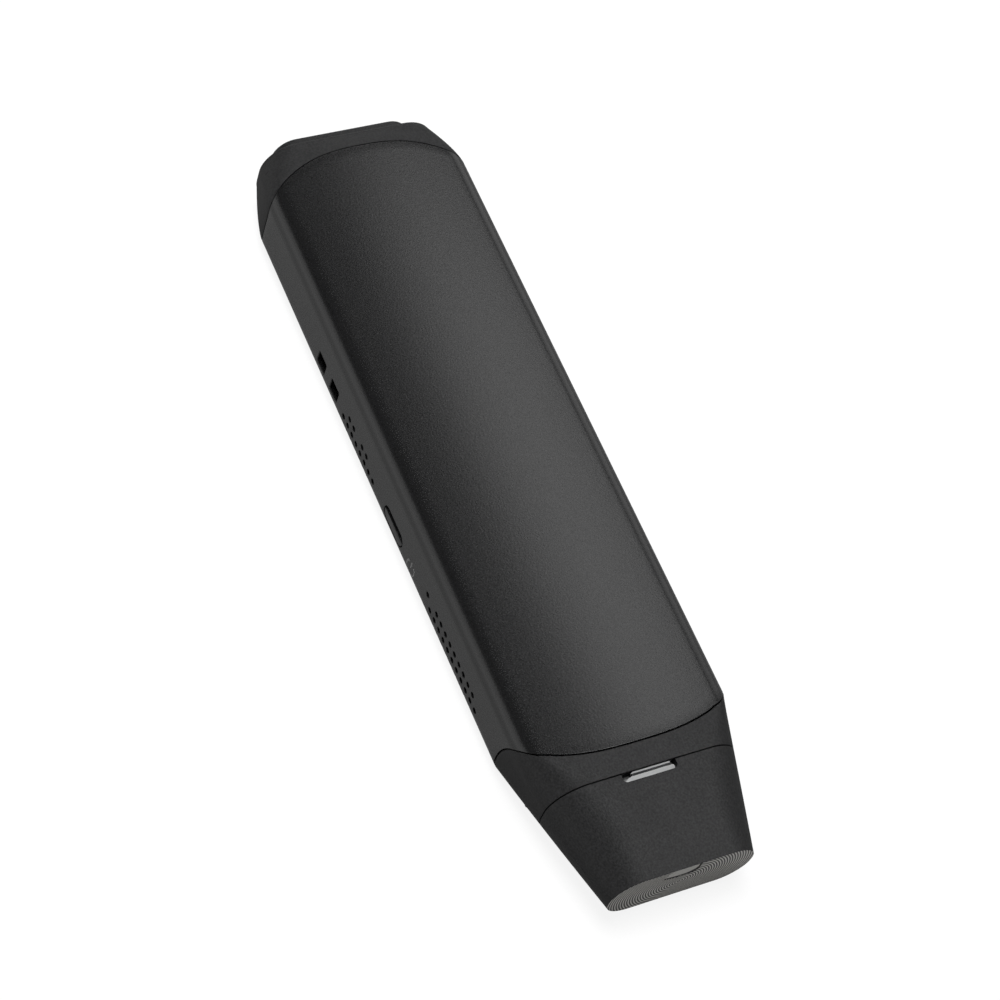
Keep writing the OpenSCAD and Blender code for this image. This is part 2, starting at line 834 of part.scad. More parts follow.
// Tapered collar with a tongue inside the sleeve and a spigot inside the cap
module front_collar() {
    collar_end_x = cap_seam_x - seam_gap / 2;
    color([0.14, 0.14, 0.15])
        difference() {
            union() {
                intersection() {
                    front_form();
                    union() {
                        difference() {
                            block([collar_tongue_x, -far, -far], [collar_end_x, far, far]);
                            between_seams(seam_gap);
                        }
                        along_x(collar_tongue_x, front_nose_x)
                            section(wall + fit);
                    }
                }
                along_x(cap_seam_x - collar_end_wall, spigot_end_x)
                    translate([0, spigot_z])
                        rounded(spigot_width, spigot_height, spigot_corner);
            }
            along_x(0, cap_seam_x - collar_end_wall)
                translate([0, (collar_low_z + collar_top_z) / 2])
                    rounded(2 * collar_half, collar_top_z - collar_low_z, collar_corner);
            along_x(0, far)
                translate([0, port_axis_z])
                    square([plug_width + 2 * fit, plug_height + 2 * fit], center = true);
            block([0, -guide_half - fit, guide_low_z - fit],
                [cap_seam_x + window_depth, guide_half + fit, guide_low_z + guide_thickness + fit]);
            block([cap_seam_x - seam_gap / 2, -guide_half - fit, guide_low_z - fit],
                [cap_seam_x + window_depth, guide_half + fit, far]);
        }
}

// Window in the cap's edge: open towards the collar, with round inner corners
module window_notch() {
    r = window_depth / 2;
    translate([cap_seam_x, 0, guide_low_z])
        linear_extrude(far)
            union() {
                translate([-r, -window_width / 2])
                    square([2 * r, window_width]);
                translate([0, r - window_width / 2])
                    square([window_depth, window_width - 2 * r]);
                for (s = [-1, 1])
                    translate([r, s * (window_width / 2 - r)])
                        circle(r, $fn = 32);
            }
}

// Pull-off cap over the display plug
module cap_shell() {
    color([0.14, 0.14, 0.15])
        difference() {
            intersection() {
                front_form();
                block([cap_seam_x + seam_gap / 2, -far, -far], [far, far, far]);
            }
            along_x(0, mouth_end_x)
                translate([0, spigot_z])
                    rounded(spigot_width + 2 * fit, spigot_height + 2 * fit, spigot_corner + fit);
            along_x(0, hollow_end_x)
                translate([0, port_axis_z])
                    rounded(liner_width + 2 * fit, liner_height + 2 * fit, liner_corner + fit);
            along_x(half_length - end_plate_thickness - end_plate_recess, far)
                translate([0, port_axis_z])
                    rounded(end_plate_width + 2 * fit, end_plate_height + 2 * fit, end_plate_corner + fit);
            window_notch();
        }
}

// Lining of the cap, which grips the display plug
module cap_liner() {
    color([0.2, 0.2, 0.21])
        difference() {
            along_x(mouth_end_x, hollow_end_x)
                translate([0, port_axis_z])
                    rounded(liner_width, liner_height, liner_corner);
            along_x(0, plug_tip_x + 2 * fit)
                translate([0, port_axis_z])
                    square([plug_width + 2 * fit, plug_height + 2 * fit], center = true);
        }
}

// Metal plate in the end of the cap
module cap_end_plate() {
    color([0.72, 0.71, 0.69])
        along_x(half_length - end_plate_thickness - end_plate_recess, half_length - end_plate_recess)
            translate([0, port_axis_z])
                rounded(end_plate_width, end_plate_height, end_plate_corner);
}

// Bent light guide: up from the lamp, forward over the plug block and up into the window
module light_guide() {
    top = guide_low_z + guide_thickness;
    end_x = cap_seam_x + window_depth - fit;
    color([0.9, 0.92, 0.93])
        along_y(-guide_half, guide_half)
            polygon([
                [guide_leg_x, board_top + lamp_size[2] + fit],
                [guide_leg_x + guide_thickness, board_top + lamp_size[2] + fit],
                [guide_leg_x + guide_thickness, guide_low_z],
                [end_x, guide_low_z],
                [end_x, guide_face_z],
                [cap_seam_x + fit, guide_face_z],
                [cap_seam_x + fit, top],
                [guide_leg_x, top]]);
}

module status_lamp() {
    color([0.95, 0.95, 0.9])
        chip(lamp_size, [guide_leg_x + guide_thickness / 2, 0], board_top);
}

// Button with a flange that keeps it behind the side wall
module power_button() {
    color([0.1, 0.1, 0.11])
        translate([button_x, 0, button_z]) {
            along_y(button_face_y, button_flange_y)
                stadium(button_length, button_height);
            along_y(button_flange_y, button_back_y)
                stadium(button_length + button_flange, button_height + button_flange);
        }
}

module power_switch() {
    color([0.15, 0.15, 0.16])
        difference() {
            chip(switch_size, [button_x, switch_y + switch_size[1] / 2], button_z - switch_size[2] / 2);
            translate([button_x, 0, button_z]) {
                along_y(-far, switch_y + plunger_stem + button_travel + fit)
                    square([for (s = plunger_size) s + 2 * fit], center = true);
                along_y(switch_y + plunger_stem - plunger_flange - fit,
                        switch_y + plunger_stem + button_travel + fit)
                    square([for (s = plunger_size) s + 2 * plunger_flange + 2 * fit], center = true);
            }
        }
}

module switch_plunger() {
    color([0.85, 0.85, 0.85])
        translate([button_x, 0, button_z]) {
            along_y(plunger_y, switch_y + plunger_stem)
                square(plunger_size, center = true);
            along_y(switch_y + plunger_stem - plunger_flange, switch_y + plunger_stem)
                square([for (s = plunger_size) s + 2 * plunger_flange], center = true);
        }
}

// Main board with a bay for the blower and notches round the posts, the pocket and the switch
module main_board() {
    tail_half = rear_half - board_clearance;
    front_half = collar_half - board_clearance;
    tail_x = rear_inner_x + fit + bezel_flange_thickness + board_clearance;
    wide_x = rear_tongue_x + board_clearance;
    wide_end_x = front_post_x - post_radius - board_margin;
    button_half = (button_length + button_flange) / 2 + fit;
    color([0.05, 0.25, 0.14])
        difference() {
            translate([0, 0, board_z])
                linear_extrude(board_thickness)
                    union() {
                        translate([tail_x, -tail_half])
                            square([-tail_x, 2 * tail_half]);
                        translate([wide_x, -board_half])
                            square([wide_end_x - wide_x, 2 * board_half]);
                        translate([0, -front_half])
                            square([plug_block_end_x - board_clearance, 2 * front_half]);
                    }
            at_cover_posts()
                cylinder(h = body_height, r = post_radius + board_margin);
            at_board_posts()
                cylinder(h = body_height, r = board_screw_radius + fit);
            block([blower_rear_x - bay_margin, -far, 0],
                [blower_front_x + bay_margin, blower_side_y + bay_margin, far]);
            block([strap_x - strap_half - strap_pocket_wall - fit, -far, 0],
                [strap_x + strap_half + strap_pocket_wall + fit, strap_pocket_y + fit, far]);
            block([button_x - switch_size[0] / 2 - fit, -far, 0],
                [button_x + switch_size[0] / 2 + fit, switch_y + switch_size[1] + fit, far]);
            block([button_x - button_half, -far, 0],
                [button_x + button_half, button_back_y + button_travel + fit, far]);
            at_ear_holes()
                cylinder(h = body_height, r = board_screw_radius + fit);
            at_heat_sink_screws()
                cylinder(h = body_height, r = board_screw_radius + fit);
        }
}

module board_screws() {
    color([0.6, 0.6, 0.62])
        at_board_posts()
            translate([0, 0, board_z - board_head_height])
                screw(board_screw_radius, board_head_height + board_screw_length, board_head_radius,
                    board_head_height, false);
}

module processor() {
    color([0.25, 0.27, 0.28])
        chip(processor_size, processor_place, board_top);
}

module thermal_pad() {
    color([0.6, 0.65, 0.7])
        chip([processor_size[0] - 2 * pad_inset, processor_size[1] - 2 * pad_inset, pad_thickness],
            processor_place, pad_z);
}

module at_heat_sink_screws() {
    for (s = [-1, 1])
        translate([processor_place[0] + s * sink_screw_x, processor_place[1] + s * sink_screw_y, 0])
            children();
}

// Finned heat sink over the processor
module heat_sink() {
    span = heat_sink_size[1] - fin_thickness;
    color([0.62, 0.62, 0.63])
        difference() {
            union() {
                chip([heat_sink_size[0], heat_sink_size[1], heat_sink_base], processor_place, heat_sink_z);
                for (i = [0:fin_count - 1])
                    chip([heat_sink_size[0], fin_thickness, fin_height],
                        processor_place + [0, span * (i / (fin_count - 1) - 0.5)],
                        heat_sink_z + heat_sink_base);
            }
            at_heat_sink_screws() {
                translate([0, 0, heat_sink_z + heat_sink_base])
                    cylinder(h = body_height, r = board_head_radius + 2 * fit);
                cylinder(h = body_height, r = board_screw_radius + fit);
            }
        }
}

module heat_sink_screws() {
    top = heat_sink_z + heat_sink_base + board_head_height;
    color([0.6, 0.6, 0.62])
        at_heat_sink_screws()
            translate([0, 0, top])
                mirror([0, 0, 1])
                    screw(board_screw_radius, top - board_z, board_head_radius, board_head_height, false);
}

module memory_chips() {
    color([0.09, 0.09, 0.1])
        for (p = memory_places)
            chip(memory_size, p, board_z - memory_size[2]);
}

module storage_chip() {
    color([0.09, 0.09, 0.1])
        chip(storage_size, storage_place, board_z - storage_size[2]);
}

module wireless_module() {
    color([0.05, 0.2, 0.3])
        chip(radio_size, radio_place, board_top);
}

module wireless_shield() {
    base = board_top + radio_size[2];
    color([0.75, 0.75, 0.76])
        difference() {
            chip(shield_size, radio_place, base);
            chip(shield_size - [2 * sheet, 2 * sheet, sheet - sliver], radio_place, base - sliver);
        }
}

module antennas() {
    color([0.85, 0.82, 0.75])
        for (s = [-1, 1])
            chip(antenna_size, [antenna_x, s * antenna_y], board_top);
}

module power_inductors() {
    color([0.3, 0.3, 0.32])
        for (p = inductor_places)
            chip(inductor_size, p, board_top);
}

module power_chip() {
    color([0.09, 0.09, 0.1])
        chip(power_chip_size, power_chip_place, board_top);
}

module clock_cell() {
    color([0.78, 0.78, 0.79])
        translate([cell_place[0], cell_place[1], board_top])
            cylinder(h = cell_height, r = cell_radius);
}

module capacitors() {
    color([0.65, 0.5, 0.35])
        for (row = capacitor_rows, i = [0:capacitor_count - 1])
            chip(capacitor_size, [row[0], row[1] + (i - (capacitor_count - 1) / 2) * capacitor_pitch],
                board_top);
}

module at_ear_holes() {
    for (s = [-1, 1])
        translate([blower_x + s * ear_spread, ear_hole_y, 0])
            children();
}

module blower_plan() {
    translate([blower_rear_x, blower_y - blower_width / 2])
        square([blower_length, blower_width]);
}

// Blower housing: a round chamber with its outlet towards the front vents
module blower_housing() {
    chamber = impeller_radius + blower_rim_gap;
    color([0.11, 0.11, 0.12])
        difference() {
            union() {
                translate([0, 0, blower_z])
                    linear_extrude(blower_height)
                        blower_plan();
                for (s = [-1, 1])
                    translate([blower_x + s * ear_spread, blower_side_y, board_top])
                        block([-ear_width / 2, -blower_wall, 0], [ear_width / 2, ear_reach, ear_thickness]);
            }
            translate([blower_x, blower_y, blower_z + blower_base])
                cylinder(h = far, r = chamber);
            block([blower_x - chamber, -far, blower_z + blower_base], [blower_x + chamber, blower_y, far]);
            at_ear_holes()
                cylinder(h = body_height, r = board_screw_radius + fit);
        }
}

module blower_lid() {
    color([0.6, 0.6, 0.62])
        translate([0, 0, blower_top])
            linear_extrude(blower_lid_thickness)
                difference() {
                    blower_plan();
                    translate([blower_x, blower_y])
                        circle(blower_inlet_radius);
                }
}

// Impeller: a cup-shaped hub, a disc and leaning blades
module blower_rotor() {
    blade_top = hub_top - blade_drop;
    blade_length = impeller_radius - hub_radius - blade_root;
    color([0.15, 0.15, 0.16])
        translate([blower_x, blower_y, 0])
            difference() {
                union() {
                    translate([0, 0, rotor_z])
                        cylinder(h = hub_top - rotor_z, r = hub_radius);
                    translate([0, 0, rotor_z])
                        cylinder(h = rotor_disc, r = impeller_radius);
                    for (i = [0:blade_count - 1])
                        rotate([0, 0, 360 * i / blade_count])
                            translate([hub_radius - blade_root, 0, rotor_z])
                                rotate([0, 0, blade_lean])
                                    translate([0, -blade_thickness / 2, 0])
                                        cube([blade_length, blade_thickness, blade_top - rotor_z]);
                }
                translate([0, 0, rotor_z - over])
                    cylinder(h = hub_top - hub_wall - rotor_z + over, r = hub_radius - hub_wall);
            }
}

module blower_shaft() {
    color([0.8, 0.8, 0.82])
        translate([blower_x, blower_y, shaft_low_z])
            cylinder(h = hub_top - hub_wall - shaft_low_z, d = shaft_diameter);
}

module blower_bush() {
    base = blower_z + blower_base;
    color([0.7, 0.55, 0.3])
        translate([blower_x, blower_y, base])
            difference() {
                cylinder(h = bush_top - base, r = bush_radius);
                translate([0, 0, -over])
                    cylinder(h = far, r = shaft_diameter / 2 + shaft_clearance);
            }
}

// Wound stator round the bush, under the hub
module blower_stator() {
    base = blower_z + blower_base;
    color([0.72, 0.42, 0.2])
        translate([blower_x, blower_y, base])
            difference() {
                cylinder(h = bush_top - base - stator_drop, r = stator_radius);
                translate([0, 0, -over])
                    cylinder(h = far, r = bush_radius + sliver);
                for (a = [45:90:315])
                    rotate([0, 0, a])
                        translate([stator_radius, 0, 0])
                            cylinder(h = far, r = stator_radius / 4, center = true, $fn = 24);
            }
}

module blower_screws() {
    color([0.6, 0.6, 0.62])
        at_ear_holes()
            translate([0, 0, board_top + ear_thickness + board_head_height])
                mirror([0, 0, 1])
                    screw(board_screw_radius, ear_screw_length, board_head_radius, board_head_height,
                        false);
}

// Outline of the display plug: straight top and chamfered lower corners
module plug_outline(inset) {
    w = plug_width / 2 - inset;
    h = plug_height / 2 - inset;
    translate([0, port_axis_z])
        polygon([[-w, h], [w, h], [w, plug_chamfer[1] - h], [w - plug_chamfer[0], -h],
            [plug_chamfer[0] - w, -h], [-w, plug_chamfer[1] - h]]);
}

// Block on the board that carries the display plug
module plug_block() {
    color([0.1, 0.1, 0.11])
        difference() {
            block([plug_block_x, -plug_block_half, board_top],
                [plug_block_end_x, plug_block_half, plug_block_top]);
            along_x(plug_inner_x, far)
                plug_outline(-sliver);
        }
}

module plug_shell() {
    color([0.75, 0.74, 0.72])
        difference() {
            along_x(plug_inner_x, plug_tip_x)
                plug_outline(0);
            along_x(plug_inner_x + sheet, far)
                plug_outline(sheet);
        }
}

module plug_insulator() {
    color([0.08, 0.08, 0.09])
        difference() {
            along_x(plug_inner_x + sheet, plug_tip_x - plug_lip)
                plug_outline(sheet);
            along_x(plug_tip_x - plug_slot_depth, far)
                translate([0, port_axis_z])
                    square(plug_slot, center = true);
        }
}

// Rows of flat contacts on the two long sides of the plug's slot
module plug_contacts() {
    z = (plug_slot[1] - plug_contact[1]) / 2;
    color([0.85, 0.68, 0.3])
        for (row = [0, 1], i = [0:plug_contact_rows[row] - 1])
            translate([plug_tip_x, (i - (plug_contact_rows[row] - 1) / 2) * plug_contact_pitch,
                    port_axis_z + (row > 0 ? z : -z)])
                block([-plug_slot_depth, -plug_contact[0] / 2, -plug_contact[1] / 2],
                    [-plug_contact_set_back, plug_contact[0] / 2, plug_contact[1] / 2]);
}

// Standard port with its mouth at x = 0, its depth along +X and its underside at z = 0
module usb_shell() {
    difference() {
        block([0, -usb_width / 2, 0], [usb_depth, usb_width / 2, usb_height]);
        block([-over, sheet - usb_width / 2, sheet],
            [usb_depth - sheet, usb_width / 2 - sheet, usb_height - sheet]);
    }
}

module usb_tongue() {
    block([usb_depth - usb_back_block, sheet - usb_width / 2, sheet],
        [usb_depth - sheet, usb_width / 2 - sheet, usb_height - sheet]);
    block([usb_tongue_set_back, -usb_tongue_size[0] / 2, usb_tongue_low],
        [usb_depth - usb_back_block, usb_tongue_size[0] / 2, usb_tongue_low + usb_tongue_size[1]]);
}

// Four flat contacts on the underside of the tongue
module usb_contacts() {
    for (y = usb_contact_places)
        block([usb_contact_set_back, y - usb_contact[0] / 2, usb_tongue_low - usb_contact[1]],
            [usb_depth - usb_back_block, y + usb_contact[0] / 2, usb_tongue_low]);
}

module at_rear_usb() {
    translate([rear_port_x, rear_usb_y, board_top])
        children();
}

module at_side_usb() {
    translate([side_usb_x, side_port_y, board_top])
        rotate([0, 0, -90])
            children();
}

module rear_usb_shell() {
    color([0.75, 0.74, 0.72])
        at_rear_usb()
            usb_shell();
}

module rear_usb_tongue() {
    color([0.1, 0.3, 0.75])
        at_rear_usb()
            usb_tongue();
}

module rear_usb_contacts() {
    color([0.85, 0.68, 0.3])
        at_rear_usb()
            usb_contacts();
}

module side_usb_shell() {
    color([0.75, 0.74, 0.72])
        at_side_usb()
            usb_shell();
}

module side_usb_tongue() {
    color([0.1, 0.1, 0.11])
        at_side_usb()
            usb_tongue();
}

module side_usb_contacts() {
    color([0.85, 0.68, 0.3])
        at_side_usb()
            usb_contacts();
}

// Power socket with its mouth in the +Y side and chamfered lower corners
module power_outline(inset) {
    w = power_width / 2 - inset;
    low = inset;
    high = power_height - inset;
    cut = power_corner;
    translate([power_x, board_top])
        polygon([[-w, high], [w, high], [w, low + cut], [w - cut, low], [cut - w, low], [-w, low + cut]]);
}

module power_socket_shell() {
    color([0.75, 0.74, 0.72])
        difference() {
            along_y(side_port_y - power_depth, side_port_y)
                power_outline(0);
            along_y(side_port_y - power_depth + sheet, far)
                power_outline(sheet);
        }
}

module power_socket_tongue() {
    color([0.08, 0.08, 0.09]) {
        along_y(power_back_y, power_back_y + power_back_block)
            power_outline(sheet);
        block([power_x - power_tongue_size[0] / 2, power_back_y + power_back_block, power_tongue_z],
            [power_x + power_tongue_size[0] / 2, side_port_y - usb_tongue_set_back,
                power_tongue_z + power_tongue_size[1]]);
    }
}

module power_socket_contacts() {
    color([0.85, 0.68, 0.3])
        for (i = [0:power_contact_count - 1])
            translate([power_x + (i - (power_contact_count - 1) / 2) * power_contact_pitch, 0,
                    power_tongue_z])
                block([-power_contact[0] / 2, power_back_y + power_back_block, -power_contact[1]],
                    [power_contact[0] / 2, side_port_y - usb_tongue_set_back - power_contact[0], 0]);
}

// Audio jack: a block on the board with a round nozzle and a true bore
module audio_jack() {
    body_x = rear_port_x + jack_nozzle_length;
    color([0.08, 0.08, 0.09])
        difference() {
            union() {
                block([body_x, jack_y - jack_width / 2, board_top],
                    [rear_port_x + jack_length, jack_y + jack_width / 2, 2 * port_axis_z - board_top]);
                translate([rear_port_x, jack_y, port_axis_z])
                    rotate([0, 90, 0])
                        cylinder(h = jack_nozzle_length + over, r = jack_nozzle_radius);
            }
            translate([rear_port_x - over, jack_y, port_axis_z])
                rotate([0, 90, 0])
                    cylinder(h = jack_bore_depth + over, d = jack_bore);
        }
}

// Solder tabs at the sides of the audio jack
module jack_terminals() {
    color([0.8, 0.79, 0.76])
        for (s = [-1, 1], x = jack_tab_places)
            chip(jack_tab_size, [rear_port_x + x, jack_y + s * (jack_width + jack_tab_size[1]) / 2],
                board_top);
}

main_sleeve();
bottom_cover();
cover_screws();
rear_cover();
port_bezel();
front_collar();
cap_shell();
cap_liner();
cap_end_plate();
light_guide();
status_lamp();
power_button();
power_switch();
switch_plunger();
main_board();
board_screws();
processor();
thermal_pad();
heat_sink();
heat_sink_screws();
memory_chips();
storage_chip();
wireless_module();
wireless_shield();
antennas();
power_inductors();
power_chip();
clock_cell();
capacitors();
blower_housing();
blower_lid();
blower_rotor();
blower_shaft();
blower_bush();
blower_stator();
blower_screws();
plug_block();
plug_shell();
plug_insulator();
plug_contacts();
rear_usb_shell();
rear_usb_tongue();
rear_usb_contacts();
side_usb_shell();
side_usb_tongue();
side_usb_contacts();
power_socket_shell();
power_socket_tongue();
power_socket_contacts();
audio_jack();
jack_terminals();
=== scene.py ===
# Looks of the stick computer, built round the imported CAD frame
import json
import math

import bmesh
import bpy
import numpy as np
from mathutils import Matrix, Vector


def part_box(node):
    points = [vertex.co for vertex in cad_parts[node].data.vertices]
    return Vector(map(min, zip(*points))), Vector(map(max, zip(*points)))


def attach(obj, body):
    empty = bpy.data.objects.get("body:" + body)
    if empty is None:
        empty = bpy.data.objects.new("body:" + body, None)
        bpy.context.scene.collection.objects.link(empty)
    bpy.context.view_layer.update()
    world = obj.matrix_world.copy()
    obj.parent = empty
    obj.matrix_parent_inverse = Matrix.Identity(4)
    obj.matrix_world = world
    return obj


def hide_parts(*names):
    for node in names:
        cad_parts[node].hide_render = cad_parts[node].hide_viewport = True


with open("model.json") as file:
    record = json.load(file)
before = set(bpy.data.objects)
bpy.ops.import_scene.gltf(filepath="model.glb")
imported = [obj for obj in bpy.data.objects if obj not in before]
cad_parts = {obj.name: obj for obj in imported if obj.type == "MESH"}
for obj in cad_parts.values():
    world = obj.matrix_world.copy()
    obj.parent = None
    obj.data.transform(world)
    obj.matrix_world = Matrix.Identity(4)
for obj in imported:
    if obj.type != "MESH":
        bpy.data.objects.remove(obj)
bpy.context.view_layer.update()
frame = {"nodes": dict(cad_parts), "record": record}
nodes = frame["nodes"]

# Sizes of the body, in millimetres
MM = 0.001
HALF_LENGTH = 68.95
HALF_WIDTH = 17.45
HEIGHT = 15.0
TOP_FILLET = 3.4
BOTTOM_FILLET = 3.5
TOP_CROWN = 0.75
WALL = 1.5
SEAM_GAP = 0.2
FIT = 0.15

# Crowned top
CROWN_HALF = HALF_WIDTH - TOP_FILLET
CROWN_RADIUS = (CROWN_HALF ** 2 + TOP_CROWN ** 2) / (2 * TOP_CROWN)
CROWN_Z = HEIGHT - CROWN_RADIUS
CROWN_ANGLE = math.asin(CROWN_HALF / (CROWN_RADIUS - TOP_FILLET))
CORNER_Z = CROWN_Z + (CROWN_RADIUS - TOP_FILLET) * math.cos(CROWN_ANGLE)

# Front end
CAP_SEAM_X = 53.3
FRONT_NOSE_X = 49.1
FRONT_NOSE_DEPTH = 3.7
NOSE_POWER = 2.7
SCOOP_X = 41.4
SCOOP_RADIUS = 11.4
SCOOP_Z = 4.5
SCOOP_BLEND_Y = (12.6, 15.2)
PORT_AXIS_Z = 7.4
SHOULDER_WIDTH = 31.5
SHOULDER_LOW_Z = 0.5
SHOULDER_TOP_Z = 14.6
SHOULDER_CORNER = 6.0
END_WIDTH = 23.8
END_HEIGHT = 10.0
END_CORNER = 4.7
PLATE_RIM = 0.03
PLATE_THICKNESS = 0.8
PLATE_RECESS = 0.02
PLATE_FIT = 0.01
WINDOW_WIDTH = 9.0
WINDOW_Y = -0.4
WINDOW_DEPTH = 1.3
SPIGOT_WIDTH = 25.6
SPIGOT_HEIGHT = 9.1
SPIGOT_CORNER = 3.0
SPIGOT_CHAMFER = 0.3
SPIGOT_Z = 7.6
SPIGOT_END_X = 55.3
MOUTH_END_X = 56.2
LINER_WIDTH = 19.3
LINER_HEIGHT = 6.2
LINER_CORNER = 1.5
HOLLOW_END_X = 66.9
PLUG_WIDTH = 13.9
PLUG_HEIGHT = 4.45
PLUG_CORNER = 0.3
GUIDE_HALF = 4.2
GUIDE_LOW_Z = 11.0
GUIDE_THICKNESS = 1.2
GUIDE_CORNER = 0.2

# Rear end
RIM_X = -66.25
REAR_NOSE_X = -62.6
REAR_NOSE_DEPTH = 6.1
RIM_WIDTH = 30.7
RIM_HEIGHT = 14.0
RIM_CORNER = 5.85
RIM_Z = 7.13
RIM_ROUNDING = 0.55
BOSS_WIDTH = 24.2
BOSS_HEIGHT = 8.3
BOSS_CORNER = 3.9
BOSS_ROUNDING = 0.6
BOSS_FLANGE_X = -64.45
REAR_BULGE = 1.35

# Side openings
VENT_RADIUS = 0.5
VENT_PITCH = 1.77
VENT_ROW_Z = 5.9
REAR_VENT_X = -20.4
FRONT_VENT_X = 13.9
REAR_VENT_ROWS = [[1, 2, 4, 5], range(0, 8), range(1, 7)]
FRONT_VENT_ROWS = [[0] + list(range(2, 11)), range(1, 12), range(0, 11)]
STRAP_X = -27.6
STRAP_Z = 4.9
STRAP_SLOT = (3.0, 2.6)
STRAP_CORNER = 0.25
STRAP_BAR = 2.4
STRAP_DEPTH = 2.9
POCKET_WALL = 1.0
POCKET_CORNER = 0.3
BUTTON_X = 0.55
BUTTON_Z = 4.4
BUTTON_SIZE = (7.0, 2.6)
SIDE_PORT = (-36.0, 7.35, 13.4, 6.0)
POWER_PORT = (-18.0, 5.85, 7.8, 3.0)
REAR_PORT = (-4.3, 7.35, 13.4, 6.0)
PORT_CORNER = 0.5
JACK_Y = 7.0
JACK_RADIUS = 2.75
COVER_X = (-53.6, 40.3)
COVER_HALF = HALF_WIDTH - 4.1
COVER_CORNER = 2.0

# Flared rims of the holes, and how far the tools that cut them reach past a face
FINE_FLARE = 0.06
SIDE_FLARE = 0.12
RIM_FLARE = 0.15
BOSS_FLARE = 0.2
CUT_PAST = 1.0
COVER_CUT_PAST = 0.5
COLLAR_CUT_BACK = 6.0

# Half-round ends stay this far short of a full half circle
ROUND_TRIM = 0.01

# Points per stretch of an outline
BOTTOM_STEPS = 24
CORNER_STEPS = 14
SIDE_STEPS = 10
TOP_STEPS = 40

# Points per quarter turn of a corner, and per turn of a disc
PORT_STEPS = 6
SPIGOT_STEPS = 8
BOSS_HOLE_STEPS = 10
BOSS_STEPS = 12
BUTTON_STEPS = 12
PLATE_STEPS = 16
VENT_STEPS = 28
JACK_STEPS = 40

# Loops along each shell, and round a rounded edge
SLEEVE_LOOPS = 64
REAR_LOOPS = 16
COLLAR_LOOPS = 20
CAP_LOOPS = 24
REAR_EDGE_LOOPS = 7
CAP_EDGE_LOOPS = 6

SMOOTH_DEGREES = 32


def mesh_object(name, points, faces):
    """New object from points in millimetres."""
    mesh = bpy.data.meshes.new(name)
    mesh.from_pydata([tuple(c * MM for c in p) for p in points], [], faces)
    mesh.validate()
    obj = bpy.data.objects.new(name, mesh)
    bpy.context.scene.collection.objects.link(obj)
    return obj


def face_outwards(obj):
    bm = bmesh.new()
    bm.from_mesh(obj.data)
    bmesh.ops.recalc_face_normals(bm, faces=bm.faces)
    bm.to_mesh(obj.data)
    bm.free()


def arc(cy, cz, radius, start, end, steps):
    angles = np.linspace(start, end, steps + 1)
    return np.stack([cy + radius * np.cos(angles), cz + radius * np.sin(angles)], axis=1)


def line(a, b, steps):
    """Points between two ends, without the ends."""
    t = np.linspace(0, 1, steps + 1)[1:-1, None]
    return np.asarray(a) * (1 - t) + np.asarray(b) * t


def join_outline(low_right, high_right, top):
    """Closed (y, z) outline from its two right-hand corners and the inner points of its top."""
    mirror = np.array([-1.0, 1.0])
    low_left = low_right[::-1] * mirror
    high_left = high_right[::-1] * mirror
    return np.concatenate([
        low_right, line(low_right[-1], high_right[0], SIDE_STEPS),
        high_right, top,
        high_left, line(high_left[-1], low_left[0], SIDE_STEPS),
        low_left, line(low_left[-1], low_right[0], BOTTOM_STEPS)])


def body_outline(inset):
    """Cross section of the body, set in evenly."""
    low_y = HALF_WIDTH - BOTTOM_FILLET
    top = math.pi / 2 - CROWN_ANGLE
    low_right = arc(low_y, BOTTOM_FILLET, BOTTOM_FILLET - inset, -math.pi / 2, 0, CORNER_STEPS)
    high_right = arc(CROWN_HALF, CORNER_Z, TOP_FILLET - inset, 0, top, CORNER_STEPS)
    crown = arc(0, CROWN_Z, CROWN_RADIUS - inset, top, math.pi - top, TOP_STEPS)[1:-1]
    return join_outline(low_right, high_right, crown)


def rounded_outline(width, height, corner, cz):
    """Rounded rectangle with as many points as the body's cross section."""
    y = width / 2 - corner
    z = height / 2 - corner
    low_right = arc(y, cz - z, corner, -math.pi / 2, 0, CORNER_STEPS)
    high_right = arc(y, cz + z, corner, 0, math.pi / 2, CORNER_STEPS)
    top = line(high_right[-1], high_right[-1] * np.array([-1.0, 1.0]), TOP_STEPS)
    return join_outline(low_right, high_right, top)


def inset_outline(outline, inset):
    """Moves each point of an outline inwards along its normal."""
    tangent = np.roll(outline, -1, axis=0) - np.roll(outline, 1, axis=0)
    tangent /= np.linalg.norm(tangent, axis=1)[:, None]
    normal = np.stack([-tangent[:, 1], tangent[:, 0]], axis=1)
    return outline + inset * normal


def loop_at(x, outline):
    """Outline in (y, z) set at one place along the length, or at one place for each point."""
    x = np.broadcast_to(x, (len(outline),))
    return np.column_stack([x, outline])


def loop_above(outline, z):
    """Outline in (x, y) set at one height."""
    return np.column_stack([outline, np.full(len(outline), z)])


def skin(name, loops, closed=False):
    """Quads between neighbouring loops of equal length: a closed ring, or a row capped at both ends."""
    count = len(loops[0])
    points = np.concatenate(loops)
    faces = []
    last = len(loops) if closed else len(loops) - 1
    for k in range(last):
        a = k * count
        b = ((k + 1) % len(loops)) * count
        for i in range(count):
            j = (i + 1) % count
            faces.append((a + i, a + j, b + j, b + i))
    if not closed:
        faces.append(tuple(range(count)))
        faces.append(tuple((len(loops) - 1) * count + i for i in reversed(range(count))))
    obj = mesh_object(name, points, faces)
    face_outwards(obj)
    return obj


